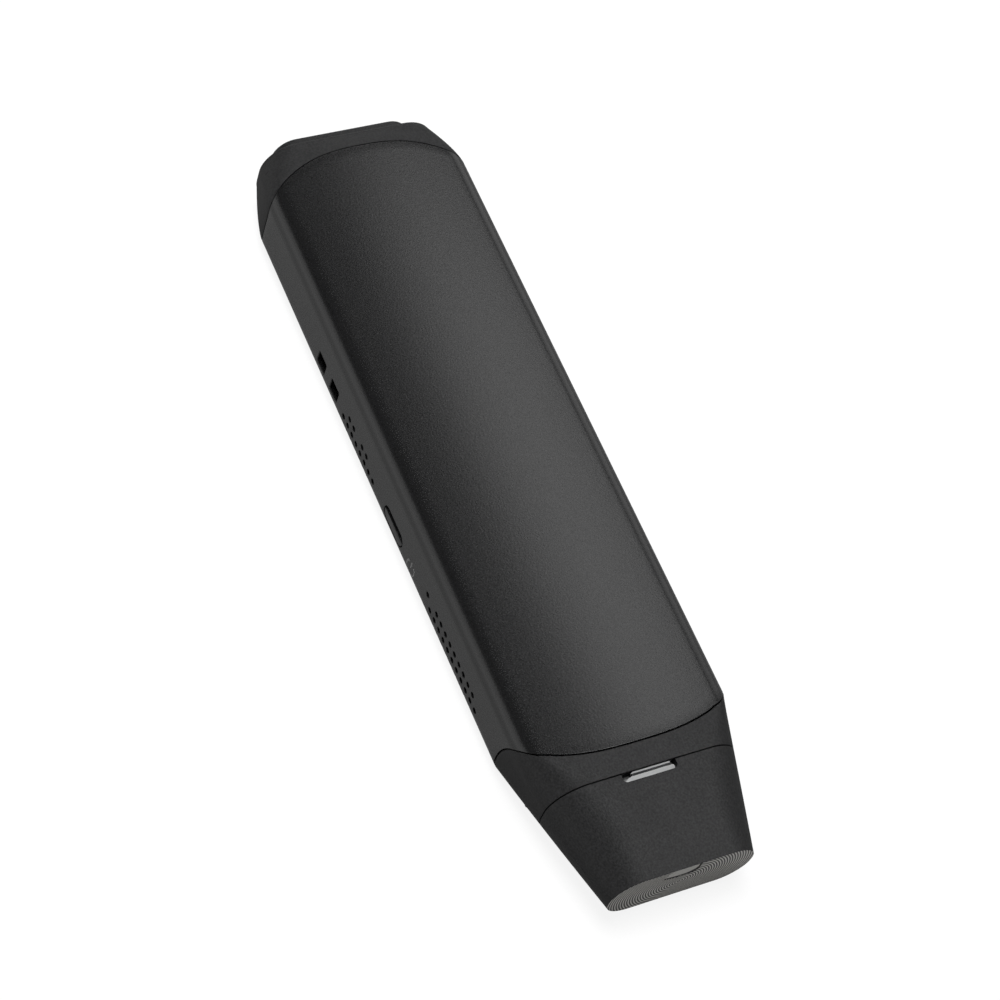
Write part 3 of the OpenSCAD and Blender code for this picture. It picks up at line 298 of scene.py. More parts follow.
def joined(name, objects):
    """One object from the meshes of several, which are removed."""
    bm = bmesh.new()
    for o in objects:
        bm.from_mesh(o.data)
        mesh = o.data
        bpy.data.objects.remove(o)
        bpy.data.meshes.remove(mesh)
    mesh = bpy.data.meshes.new(name)
    bm.to_mesh(mesh)
    bm.free()
    obj = bpy.data.objects.new(name, mesh)
    bpy.context.scene.collection.objects.link(obj)
    return obj


def combine(obj, tools, operation="DIFFERENCE"):
    """Applies one Boolean with the joined tools and removes them."""
    tool = joined(obj.name + "_tool", tools)
    modifier = obj.modifiers.new("combine", "BOOLEAN")
    modifier.operation = operation
    modifier.solver = "EXACT"
    modifier.object = tool
    graph = bpy.context.evaluated_depsgraph_get()
    mesh = bpy.data.meshes.new_from_object(obj.evaluated_get(graph))
    obj.modifiers.clear()
    old = obj.data
    obj.data = mesh
    mesh.name = obj.name
    bpy.data.meshes.remove(old)
    tool_mesh = tool.data
    bpy.data.objects.remove(tool)
    bpy.data.meshes.remove(tool_mesh)


def shade(obj, degrees):
    obj.data.shade_smooth()
    obj.data.set_sharp_from_angle(angle=math.radians(degrees))


def prism(axis, outline, stops):
    """Closed prism along X or Y: each stop is a place on the axis and how far the outline grows there."""
    loops = []
    for place_on_axis, grow in stops:
        ring = inset_outline(outline, -grow)
        if axis == "X":
            loops.append(loop_at(place_on_axis, ring))
        else:
            loops.append(np.column_stack([ring[:, 0], np.full(len(ring), place_on_axis), ring[:, 1]]))
    return skin("prism", loops)


def disc(cx, cz, radius, steps=VENT_STEPS):
    return arc(cx, cz, radius, 0, 2 * math.pi, steps)[:-1]


def rounded_box(cx, cz, width, height, corner, steps=PORT_STEPS):
    """Rounded rectangle round a middle, anticlockwise."""
    x = width / 2 - corner
    z = height / 2 - corner
    quarter = math.pi / 2
    return np.concatenate([
        arc(cx + sx * x, cz + sz * z, corner, k * quarter, (k + 1) * quarter, steps)
        for k, (sx, sz) in enumerate([(1, 1), (-1, 1), (-1, -1), (1, -1)])])


def smooth_step(low, high, value):
    t = np.clip((value - low) / (high - low), 0, 1)
    return t * t * (3 - 2 * t)


# Seams at both ends of the sleeve
BODY = body_outline(0)
Y = np.abs(BODY[:, 0])
Z = BODY[:, 1]
nose = FRONT_NOSE_X - FRONT_NOSE_DEPTH * (Y / HALF_WIDTH) ** NOSE_POWER
scoop = SCOOP_X + SCOOP_RADIUS - np.sqrt(np.maximum(SCOOP_RADIUS ** 2 - (Z - SCOOP_Z) ** 2, 0))
side_share = np.where(Z < SCOOP_Z, 1.0, smooth_step(*SCOOP_BLEND_Y, Y))
FRONT_SEAM = nose + side_share * (np.minimum(nose, scoop) - nose)
REAR_SEAM = REAR_NOSE_X + REAR_NOSE_DEPTH * (Y / HALF_WIDTH) ** NOSE_POWER

# Softly rounded edge: distance from the edge along the length, and how far it is set in
EDGE = [(0.06, 0.0), (0.03, 0.004), (0.01, 0.013), (0.0, 0.03)]
EDGE_LENGTH = EDGE[0][0]
COLLAR_EDGE = [(0.24, 0.0), (0.12, 0.03), (0.04, 0.1), (0.0, 0.24)]
COLLAR_EDGE_LENGTH = COLLAR_EDGE[0][0]

# Step from a seam's foremost point to the plane inner face of the end piece
INNER_STEP = 0.3


def near_cut(outline, flare=SIDE_FLARE):
    """Tool for a flared hole through the near side of the sleeve."""
    face = -HALF_WIDTH
    return prism("Y", outline, [(face - CUT_PAST, flare), (face, flare), (face + flare, 0),
                                (face + WALL + CUT_PAST, 0)])


def far_cut(outline, flare=SIDE_FLARE):
    """Tool for a flared hole through the far side of the sleeve."""
    face = HALF_WIDTH
    return prism("Y", outline, [(face + CUT_PAST, flare), (face, flare), (face - flare, 0),
                                (face - WALL - CUT_PAST, 0)])


# Sleeve
def make_sleeve():
    low = REAR_SEAM + EDGE_LENGTH
    high = FRONT_SEAM - EDGE_LENGTH
    loops = [loop_at(low + (high - low) * t, BODY) for t in np.linspace(0, 1, SLEEVE_LOOPS)]
    loops += [loop_at(FRONT_SEAM - d, body_outline(inset)) for d, inset in EDGE[1:]]
    loops.append(loop_at(FRONT_SEAM, body_outline(WALL)))
    loops.append(loop_at(REAR_SEAM, body_outline(WALL)))
    loops += [loop_at(REAR_SEAM + d, body_outline(inset)) for d, inset in reversed(EDGE[1:])]
    sleeve = skin("sleeve", loops, closed=True)

    near = -HALF_WIDTH
    slot_length, slot_height = STRAP_SLOT
    pocket_length = 2 * slot_length + STRAP_BAR
    pocket_back = near + WALL + STRAP_DEPTH
    block = rounded_box(STRAP_X, STRAP_Z, pocket_length + 2 * POCKET_WALL, slot_height + 2 * POCKET_WALL,
                        POCKET_CORNER)
    combine(sleeve, [prism("Y", block, [(near + WALL / 2, 0), (pocket_back + POCKET_WALL, 0)])], "UNION")
    pocket = rounded_box(STRAP_X, STRAP_Z, pocket_length, slot_height, STRAP_CORNER)
    combine(sleeve, [prism("Y", pocket, [(near + WALL, 0), (pocket_back, 0)])])

    tools = []
    for x0, rows in ((REAR_VENT_X, REAR_VENT_ROWS), (FRONT_VENT_X, FRONT_VENT_ROWS)):
        for r, columns in enumerate(rows):
            for c in columns:
                hole = disc(x0 + c * VENT_PITCH, VENT_ROW_Z - r * VENT_PITCH, VENT_RADIUS)
                tools.append(near_cut(hole, FINE_FLARE))
                if x0 == FRONT_VENT_X:
                    tools.append(far_cut(hole, FINE_FLARE))
    for s in (-1, 1):
        x = STRAP_X + s * (STRAP_BAR + slot_length) / 2
        tools.append(near_cut(rounded_box(x, STRAP_Z, slot_length, slot_height, STRAP_CORNER)))
    key_hole = rounded_box(BUTTON_X, BUTTON_Z, BUTTON_SIZE[0] + 2 * FIT, BUTTON_SIZE[1] + 2 * FIT,
                           BUTTON_SIZE[1] / 2 + FIT - ROUND_TRIM, BUTTON_STEPS)
    tools.append(near_cut(key_hole, FINE_FLARE))
    for x, z, width, height in (SIDE_PORT, POWER_PORT):
        tools.append(far_cut(rounded_box(x, z, width, height, PORT_CORNER)))
    middle = (COVER_X[0] + COVER_X[1]) / 2
    cover = rounded_box(middle, 0, COVER_X[1] - COVER_X[0] + 2 * SEAM_GAP, 2 * (COVER_HALF + SEAM_GAP),
                        COVER_CORNER)
    tools.append(skin("cover_cut", [loop_above(cover, z) for z in (-CUT_PAST, WALL + COVER_CUT_PAST)]))
    combine(sleeve, tools)
    return sleeve


# Rear cover, which tapers from the seam to its rounded rim
def make_rear_cover():
    rim = rounded_outline(RIM_WIDTH, RIM_HEIGHT, RIM_CORNER, RIM_Z)
    start = REAR_SEAM - SEAM_GAP
    stop = RIM_X + RIM_ROUNDING
    loops = [loop_at(x, body_outline(WALL + FIT)) for x in (REAR_NOSE_X - SEAM_GAP - INNER_STEP, start)]
    loops += [loop_at(start - d, body_outline(inset)) for d, inset in reversed(EDGE[1:])]
    for t in np.linspace(0, 1, REAR_LOOPS):
        x = start - EDGE_LENGTH + (stop - start + EDGE_LENGTH) * t
        loops.append(loop_at(x, BODY + (rim - BODY) * t ** REAR_BULGE))
    for a in np.linspace(0, math.pi / 2, REAR_EDGE_LOOPS)[1:]:
        loops.append(loop_at(stop - RIM_ROUNDING * math.sin(a),
                             inset_outline(rim, RIM_ROUNDING * (1 - math.cos(a)))))
    cover = skin("rear_cover_shell", loops)
    hole = rounded_box(0, PORT_AXIS_Z, BOSS_WIDTH + 2 * FIT, BOSS_HEIGHT + 2 * FIT, BOSS_CORNER + FIT,
                       BOSS_HOLE_STEPS)
    combine(cover, [prism("X", hole, [(RIM_X - CUT_PAST, RIM_FLARE), (RIM_X, RIM_FLARE),
                                      (RIM_X + RIM_FLARE, 0), (0, 0)])])
    return cover


# Raised boss round the rear ports
def make_bezel():
    boss = rounded_box(0, PORT_AXIS_Z, BOSS_WIDTH, BOSS_HEIGHT, BOSS_CORNER, BOSS_STEPS)
    end = -HALF_LENGTH
    stops = [(BOSS_FLANGE_X, 0), (end + BOSS_ROUNDING, 0)]
    for a in np.linspace(0, math.pi / 2, REAR_EDGE_LOOPS)[1:]:
        stops.append((end + BOSS_ROUNDING * (1 - math.sin(a)), -BOSS_ROUNDING * (1 - math.cos(a))))
    bezel = prism("X", boss, stops)
    bezel.name = "rear_boss"
    cuts = []
    for outline in (rounded_box(*REAR_PORT, PORT_CORNER), disc(JACK_Y, PORT_AXIS_Z, JACK_RADIUS, JACK_STEPS)):
        cuts.append(prism("X", outline, [(end - CUT_PAST, BOSS_FLARE), (end, BOSS_FLARE),
                                         (end + BOSS_FLARE, 0), (0, 0)]))
    combine(bezel, cuts)
    return bezel


# Taper of the front: from the body's seam through the shoulder at the cap's seam to the end face
FRONT_START = FRONT_SEAM + SEAM_GAP
SHOULDER = rounded_outline(SHOULDER_WIDTH, SHOULDER_TOP_Z - SHOULDER_LOW_Z, SHOULDER_CORNER,
                           (SHOULDER_LOW_Z + SHOULDER_TOP_Z) / 2)
END = rounded_outline(END_WIDTH, END_HEIGHT, END_CORNER, PORT_AXIS_Z)


def front_outline(x):
    """Outline of the tapered front where the length coordinate of each point is x."""
    first = (SHOULDER - BODY) / (CAP_SEAM_X - FRONT_START)[:, None]
    second = (END - SHOULDER) / (HALF_LENGTH - CAP_SEAM_X)
    bend = (second - first) / (HALF_LENGTH - FRONT_START)[:, None]
    from_start = (x - FRONT_START)[:, None]
    from_shoulder = (x - CAP_SEAM_X)[:, None]
    return BODY + from_start * first + from_start * from_shoulder * bend


def front_loop(x, inset=0):
    """Loop of the tapered front at one place along the length, set in evenly."""
    x = np.full(len(BODY), x)
    return loop_at(x, inset_outline(front_outline(x), inset))


# Collar between the sleeve and the cap, with the spigot that the cap sits on
WINDOW_CUT_HEIGHT = 6.0
WINDOW_CUT_BACK = 0.02
GUIDE_CUT_PAST = 0.1


def make_collar():
    stop = CAP_SEAM_X - SEAM_GAP / 2
    flush = FRONT_START + COLLAR_EDGE_LENGTH
    inner = FRONT_NOSE_X + SEAM_GAP + INNER_STEP
    loops = [loop_at(x, body_outline(WALL + FIT)) for x in (inner, FRONT_START)]
    loops += [loop_at(FRONT_START + d, body_outline(inset)) for d, inset in reversed(COLLAR_EDGE[1:])]
    for t in np.linspace(0, 1, COLLAR_LOOPS):
        x = flush + (stop - EDGE_LENGTH - flush) * t
        loops.append(loop_at(x, front_outline(x)))
    loops += [front_loop(stop - d, inset) for d, inset in EDGE[1:]]
    collar = skin("collar", loops)

    spigot = rounded_box(0, SPIGOT_Z, SPIGOT_WIDTH, SPIGOT_HEIGHT, SPIGOT_CORNER, SPIGOT_STEPS)
    tongue = prism("X", spigot, [(stop - CUT_PAST, 0), (SPIGOT_END_X - SPIGOT_CHAMFER, 0),
                                 (SPIGOT_END_X, -SPIGOT_CHAMFER)])
    combine(collar, [tongue], "UNION")
    hole = rounded_box(0, PORT_AXIS_Z, PLUG_WIDTH + 2 * FIT, PLUG_HEIGHT + 2 * FIT, PLUG_CORNER)
    slot_width = 2 * (GUIDE_HALF + FIT)
    guide = rounded_box(0, GUIDE_LOW_Z + GUIDE_THICKNESS, slot_width, 2 * GUIDE_THICKNESS + 2 * FIT,
                        GUIDE_CORNER)
    window = rounded_box(0, GUIDE_LOW_Z + WINDOW_CUT_HEIGHT / 2, slot_width, WINDOW_CUT_HEIGHT + 2 * FIT,
                         GUIDE_CORNER)
    back = stop - COLLAR_CUT_BACK
    combine(collar, [prism("X", hole, [(back, 0), (SPIGOT_END_X + CUT_PAST, 0)])])
    combine(collar, [prism("X", guide, [(back, 0), (stop + GUIDE_CUT_PAST, 0)])])
    combine(collar, [prism("X", window, [(stop - WINDOW_CUT_BACK, 0), (CAP_SEAM_X + WINDOW_DEPTH, 0)])])
    return collar


def plate_outline(grow):
    """Outline of the end plate, grown evenly."""
    change = 2 * (grow - PLATE_RIM)
    return rounded_box(0, PORT_AXIS_Z, END_WIDTH + change, END_HEIGHT + change, END_CORNER + grow - PLATE_RIM,
                       PLATE_STEPS)


# Pull-off cap
CAP_ROUNDING = 0.02
WINDOW_CUT_RISE = 2.0


def make_cap():
    start = CAP_SEAM_X + SEAM_GAP / 2
    stop = HALF_LENGTH
    loops = [front_loop(start + d, inset) for d, inset in reversed(EDGE[1:])]
    for t in np.linspace(0, 1, CAP_LOOPS):
        x = np.full(len(BODY), start + EDGE_LENGTH + (stop - CAP_ROUNDING - start - EDGE_LENGTH) * t)
        loops.append(loop_at(x, front_outline(x)))
    for a in np.linspace(0, math.pi / 2, CAP_EDGE_LOOPS)[1:]:
        loops.append(front_loop(stop - CAP_ROUNDING + CAP_ROUNDING * math.sin(a),
                                CAP_ROUNDING * (1 - math.cos(a))))
    cap = skin("cap", loops)

    mouth = rounded_box(0, SPIGOT_Z, SPIGOT_WIDTH + 2 * FIT, SPIGOT_HEIGHT + 2 * FIT, SPIGOT_CORNER + FIT,
                        SPIGOT_STEPS)
    combine(cap, [prism("X", mouth, [(start - CUT_PAST, 0), (MOUTH_END_X, 0)])])
    hollow = rounded_box(0, PORT_AXIS_Z, LINER_WIDTH + 2 * FIT, LINER_HEIGHT + 2 * FIT, LINER_CORNER + FIT,
                         SPIGOT_STEPS)
    combine(cap, [prism("X", hollow, [(start - CUT_PAST, 0), (HOLLOW_END_X, 0)])])
    plate_back = stop - PLATE_THICKNESS - PLATE_RECESS
    combine(cap, [prism("X", plate_outline(PLATE_FIT), [(plate_back, 0), (stop + CUT_PAST, 0)])])
    window = rounded_box(start, WINDOW_Y, 2 * WINDOW_DEPTH, WINDOW_WIDTH, WINDOW_DEPTH / 2, SPIGOT_STEPS)
    window_loops = [loop_above(window, z) for z in (GUIDE_LOW_Z, HEIGHT + WINDOW_CUT_RISE)]
    combine(cap, [skin("window_cut", window_loops)])
    # Dark floor of the groove below the notch's lip: the cap's dark plastic, close behind the plate face, as
    # painted shade
    groove = prism("X", shaded_groove_outline(), [(plate_back, 0), (stop - SHADED_GROOVE_DEPTH, 0)])
    return joined("cap", [cap, groove])


# Metal end plate with turned rings
PLATE_FACE_X = HALF_LENGTH - PLATE_RECESS
PLATE_CUT_BACK = 2.0
RING_PITCH = 0.42
RING_DEPTH = 0.04
RING_SAMPLES = 6
RING_SEGMENTS = 168
RING_REACH = 12.4
RING_Y = -0.4


def through_plate(outline):
    """Tool of one outline that reaches through the whole end plate."""
    return prism("X", outline, [(PLATE_FACE_X - PLATE_CUT_BACK, 0), (PLATE_FACE_X + CUT_PAST, 0)])


def make_end_plate():
    step = RING_PITCH / RING_SAMPLES
    angles = np.linspace(0, 2 * math.pi, RING_SEGMENTS, endpoint=False)
    loops = []
    for radius in np.arange(step, RING_REACH, step):
        depth = RING_DEPTH * (0.5 - 0.5 * math.cos(2 * math.pi * radius / RING_PITCH))
        ring = np.column_stack([RING_Y + radius * np.cos(angles), PORT_AXIS_Z + radius * np.sin(angles)])
        loops.append(loop_at(PLATE_FACE_X - depth, ring))
    back = loops[-1].copy()
    back[:, 0] = PLATE_FACE_X - PLATE_THICKNESS
    loops.append(back)
    turned = skin("end_plate", loops)
    combine(turned, [through_plate(plate_outline(0))], "INTERSECT")
    combine(turned, [through_plate(notch_outline(0))])
    return turned


# Nail notch in the upper edge of the end plate, with a plain lip and a dark groove below it; the groove's
# dark floor is painted shade under the lip
NOTCH_Y = (-3.8, 2.0)
NOTCH_Z = 10.5
NOTCH_DIP = 0.4
NOTCH_END_RISE = 0.9
NOTCH_END_POWER = 12
NOTCH_LEAN = 1.5
NOTCH_TOP_PAST = 0.5
NOTCH_STEPS = 25
LIP_END_GAP = 0.3
LIP_RECESS = 0.05
GROOVE_WIDTH = (0.35, 0.95)
SHADED_GROOVE_DEPTH = 0.08
GROOVE_FIT = 0.01


def notch_outline(lip):
    """Outline of the notch where lip is 0, or of the lip in it where lip is 1."""
    y = np.linspace(NOTCH_Y[0], NOTCH_Y[1] - lip * LIP_END_GAP, NOTCH_STEPS)
    t = (y - y[0]) / (y[-1] - y[0])
    groove = GROOVE_WIDTH[0] + (GROOVE_WIDTH[1] - GROOVE_WIDTH[0]) * t
    edge_z = NOTCH_Z - NOTCH_DIP * np.sin(math.pi * t) + NOTCH_END_RISE * t ** NOTCH_END_POWER
    top = PORT_AXIS_Z + END_HEIGHT / 2 + NOTCH_TOP_PAST
    corners = [(y[-1], top), (y[0] + NOTCH_LEAN, top)]
    return np.concatenate([np.column_stack([y, edge_z - (1 - lip) * groove]), corners])


def shaded_groove_outline():
    """Dark floor of the groove, between the notch's lower edge and the lip: the cap's own dark plastic, set
    just behind the plate face as painted shade under the lip.
    """
    low = notch_outline(0)[:NOTCH_STEPS]
    high = notch_outline(1)[:NOTCH_STEPS]
    return inset_outline(np.concatenate([low, high[::-1]]), GROOVE_FIT)


def make_lip():
    outline = notch_outline(1)
    loops = [loop_at(PLATE_FACE_X - depth, outline) for depth in (PLATE_THICKNESS, LIP_RECESS)]
    lip = skin("notch_lip", loops)
    combine(lip, [through_plate(plate_outline(0))], "INTERSECT")
    return lip


# Lens of the indicator: a pale bar and a narrow strip along the seam, on a black carrier with a rib between;
# the black rib is painted shade, a dark piece where the gap between strip and bar lies in shade
LENS_TOP_Z = 14.05
LENS_THICKNESS = 0.25
LENS_SLOPE = 0.12
LENS_EDGE = [(0.04, 0.0), (0.012, 0.012), (0.0, 0.04)]
STRIP_X = (53.27, 53.54)
STRIP_Y = (-3.2, 3.35)
STRIP_SWEEP = 0.6
STRIP_RISE = 0.1
BAR_X = (53.82, 54.58)
BAR_Y = (-4.35, 3.85)
BAR_SWEEP = 1.7
BAR_CORNER_SHARE = 0.4
BAR_STEPS = 13
CARRIER_Y = (-3.7, 3.8)
SHADE_RIB_INDENT = 1.2
SHADE_RIB_SWEEP = 0.2
SHADE_RIB_RISE = 0.16


def bar_outline(x0, x1, y0, y1, sweep):
    """Bar with one swept corner at its low end and a small rounding at the other."""
    a = np.linspace(0, math.pi / 2, BAR_STEPS)
    swept = np.column_stack([x1 - (x1 - x0) * np.sin(a), y0 + sweep * (1 - np.cos(a))])
    r = BAR_CORNER_SHARE * (x1 - x0)
    high_rear = np.column_stack([x0 + r * (1 - np.cos(a)), y1 - r * (1 - np.sin(a))])
    high_front = np.column_stack([x1 - r * (1 - np.sin(a)), y1 - r * (1 - np.cos(a))])
    return np.concatenate([swept, high_rear, high_front])[::-1]


def lens_bar(outline, low, top):
    """Bar whose top slopes with the cap and has a softened edge."""
    loops = []
    for z, inset in [(low, 0.0)] + [(top - drop, edge_inset) for drop, edge_inset in LENS_EDGE]:
        ring = inset_outline(outline, inset)
        loops.append(np.column_stack([ring, z - LENS_SLOPE * (ring[:, 0] - CAP_SEAM_X)]))
    return skin("bar", loops)


def make_lens():
    guide_low, guide_high = [[c / MM for c in corner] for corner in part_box("light_guide")]
    run_top = GUIDE_LOW_Z + GUIDE_THICKNESS
    bend = guide_low[0] + GUIDE_THICKNESS
    side = [(guide_low[0], guide_low[2]), (bend, guide_low[2]), (bend, GUIDE_LOW_Z),
            (guide_high[0], GUIDE_LOW_Z), (guide_high[0], run_top), (guide_low[0], run_top)]
    guide = skin("guide", [np.array([(x, y, z) for x, z in side]) for y in (guide_low[1], guide_high[1])])
    low = LENS_TOP_Z - LENS_THICKNESS
    strip = lens_bar(bar_outline(*STRIP_X, *STRIP_Y, STRIP_SWEEP), low, LENS_TOP_Z + STRIP_RISE)
    bar = lens_bar(bar_outline(*BAR_X, *BAR_Y, BAR_SWEEP), low, LENS_TOP_Z)
    return joined("indicator_lens", [guide, strip, bar])


def make_carrier():
    low = GUIDE_LOW_Z + GUIDE_THICKNESS
    base_outline = bar_outline(STRIP_X[0], BAR_X[1], *CARRIER_Y, BAR_SWEEP)
    base = lens_bar(base_outline, low, LENS_TOP_Z - LENS_THICKNESS)
    # Black rib between strip and bar: painted shade of the gap between them
    shade_rib_outline = bar_outline(STRIP_X[1], BAR_X[0], BAR_Y[0] + SHADE_RIB_INDENT, STRIP_Y[1], SHADE_RIB_SWEEP)
    shade_rib = lens_bar(shade_rib_outline, low, LENS_TOP_Z + SHADE_RIB_RISE)
    return joined("lens_carrier", [base, shade_rib])


# Power button: a low key that leaves a gap above it, and the flange behind the side wall
KEY_GAP = 0.95
KEY_FACE_Y = 0.05 - HALF_WIDTH
KEY_EDGE = [(0.0, 0.12), (0.02, 0.05), (0.12, 0.0)]
KEY_OVERLAP = 0.2
FLANGE_GAP = 0.25


def make_button():
    low, high = [[c / MM for c in corner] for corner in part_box("power_button")]
    flange_y = WALL + FLANGE_GAP - HALF_WIDTH
    half = BUTTON_SIZE[1] / 2
    key_outline = rounded_box(BUTTON_X, BUTTON_Z, *BUTTON_SIZE, half - ROUND_TRIM, BUTTON_STEPS)
    key_outline[:, 1] = np.minimum(key_outline[:, 1], BUTTON_Z + half - KEY_GAP)
    stops = [(KEY_FACE_Y + depth, -inset) for depth, inset in KEY_EDGE]
    key = prism("Y", key_outline, stops + [(flange_y + KEY_OVERLAP, 0)])
    flange_height = high[2] - low[2]
    flange_outline = rounded_box(BUTTON_X, BUTTON_Z, high[0] - low[0], flange_height,
                                 flange_height / 2 - ROUND_TRIM, BUTTON_STEPS)
    flange = prism("Y", flange_outline, [(flange_y, 0), (high[1], 0)])
    return joined("button_key", [key, flange])


# Printed power mark beside the button: a broken ring and a bar, on the side and the start of its rounding
MARK_X = 7.9
MARK_Z = 3.95
MARK_RADIUS = 1.45
MARK_LINE = 0.28
MARK_ARC = (125, 415)
MARK_STEPS = 33
MARK_BAR_LOW = 0.1
MARK_BAR_PAST = 0.15
MARK_RISE = 0.006
MARK_THICKNESS = 0.02


def mark_y(z):
    """Place of the print on the near side, at one height."""
    drop = max(BOTTOM_FILLET - z, 0)
    return BOTTOM_FILLET - HALF_WIDTH - math.sqrt(BOTTOM_FILLET ** 2 - drop ** 2) - MARK_RISE


def stroke(name, pairs):
    """Flat stroke along pairs of points on its two edges, a little thick."""
    loops = []
    for inner, outer in pairs:
        front = [(x, mark_y(z), z) for x, z in (inner, outer)]
        behind = [(x, mark_y(z) + MARK_THICKNESS, z) for x, z in (outer, inner)]
        loops.append(np.array(front + behind))
    return skin(name, loops)


def make_mark():
    half = MARK_LINE / 2
    ring = []
    for a in np.linspace(math.radians(MARK_ARC[0]), math.radians(MARK_ARC[1]), MARK_STEPS):
        ring.append([(MARK_X + r * math.cos(a), MARK_Z + r * math.sin(a))
                     for r in (MARK_RADIUS - MARK_LINE, MARK_RADIUS)])
    bar = [[(MARK_X - half, MARK_Z + z), (MARK_X + half, MARK_Z + z)]
           for z in (MARK_BAR_LOW, MARK_RADIUS + MARK_BAR_PAST)]
    return joined("power_mark", [stroke("ring", ring), stroke("bar", bar)])


# Materials
GRAIN = 3200
GRAIN_DETAIL = 3.0
GRAIN_STOPS = (0.3, 0.7)
CLOUD_DETAIL = 2.0
# Near-black colour between the turned rings is painted shade in the grooves; the crest colour is the metal's
# own
RING_GROOVE_SHADE = (0.012, 0.0115, 0.011)
RING_CREST = (0.78, 0.76, 0.72)
RING_STOPS = (0.4, 0.75)


def new_material(name):
    material = bpy.data.materials.new(name)
    material.use_nodes = True
    shader = material.node_tree.nodes["Principled BSDF"]
    return material, material.node_tree.nodes, material.node_tree.links, shader


def object_noise(tree_nodes, links, scale, detail, stretch):
    coordinates = tree_nodes.new("ShaderNodeTexCoord")
    mapping = tree_nodes.new("ShaderNodeMapping")
    mapping.inputs["Scale"].default_value = stretch
    noise = tree_nodes.new("ShaderNodeTexNoise")
    noise.inputs["Scale"].default_value = scale
    noise.inputs["Detail"].default_value = detail
    links.new(coordinates.outputs["Object"], mapping.inputs["Vector"])
    links.new(mapping.outputs["Vector"], noise.inputs["Vector"])
    return noise


def ramp(tree_nodes, links, value, stops, colours):
    node = tree_nodes.new("ShaderNodeValToRGB")
    for element, position, colour in zip(node.color_ramp.elements, stops, colours):
        element.position = position
        element.color = (*colour, 1)
    links.new(value, node.inputs["Fac"])
    return node


def textured(name, colour, spread, roughness, rough_spread, grain, depth, metallic=0.0, stretch=(1, 1, 1),
             specular=0.5, cloud_share=0.07):
    """Material with grain in its colour, roughness and surface: grain is per metre, depth in metres."""
    material, tree_nodes, links, shader = new_material(name)
    noise = object_noise(tree_nodes, links, grain, GRAIN_DETAIL, stretch)
    dark = tuple(c * (1 - spread) for c in colour)
    light = tuple(c * (1 + spread) for c in colour)
    tint = ramp(tree_nodes, links, noise.outputs["Fac"], GRAIN_STOPS, (dark, light))
    links.new(tint.outputs["Color"], shader.inputs["Base Color"])
    cloud = object_noise(tree_nodes, links, grain * cloud_share, CLOUD_DETAIL, stretch)
    span = tree_nodes.new("ShaderNodeMapRange")
    span.inputs["To Min"].default_value = roughness - rough_spread
    span.inputs["To Max"].default_value = roughness + rough_spread
    links.new(cloud.outputs["Fac"], span.inputs["Value"])
    links.new(span.outputs["Result"], shader.inputs["Roughness"])
    bump = tree_nodes.new("ShaderNodeBump")
    bump.inputs["Strength"].default_value = 1.0
    bump.inputs["Distance"].default_value = depth
    links.new(noise.outputs["Fac"], bump.inputs["Height"])
    links.new(bump.outputs["Normal"], shader.inputs["Normal"])
    shader.inputs["Metallic"].default_value = metallic
    shader.inputs["Specular IOR Level"].default_value = specular
    return material


def turned_metal_painted_shade():
    """Metal whose colour follows the turned rings: the metal's own colour on their crests, and painted shade,
    near black, between them.
    """
    material, tree_nodes, links, shader = new_material("turned_metal_painted_shade")
    coordinates = tree_nodes.new("ShaderNodeTexCoord")
    centred = tree_nodes.new("ShaderNodeMapping")
    centred.inputs["Location"].default_value = (0, -RING_Y * MM, -PORT_AXIS_Z * MM)
    links.new(coordinates.outputs["Object"], centred.inputs["Vector"])
    across = tree_nodes.new("ShaderNodeVectorMath")
    across.operation = "MULTIPLY"
    across.inputs[1].default_value = (0, 1, 1)
    links.new(centred.outputs["Vector"], across.inputs[0])
    radius = tree_nodes.new("ShaderNodeVectorMath")
    radius.operation = "LENGTH"
    links.new(across.outputs["Vector"], radius.inputs[0])
    phase = tree_nodes.new("ShaderNodeMath")
    phase.operation = "MULTIPLY"
    phase.inputs[1].default_value = 2 * math.pi / (RING_PITCH * MM)
    links.new(radius.outputs["Value"], phase.inputs[0])
    wave = tree_nodes.new("ShaderNodeMath")
    wave.operation = "COSINE"
    links.new(phase.outputs["Value"], wave.inputs[0])
    height = tree_nodes.new("ShaderNodeMapRange")
    height.inputs["From Min"].default_value = -1
    links.new(wave.outputs["Value"], height.inputs["Value"])
    tint = ramp(tree_nodes, links, height.outputs["Result"], RING_STOPS, (RING_GROOVE_SHADE, RING_CREST))
    links.new(tint.outputs["Color"], shader.inputs["Base Color"])
    shader.inputs["Metallic"].default_value = 1.0
    shader.inputs["Roughness"].default_value = 0.3
    return material


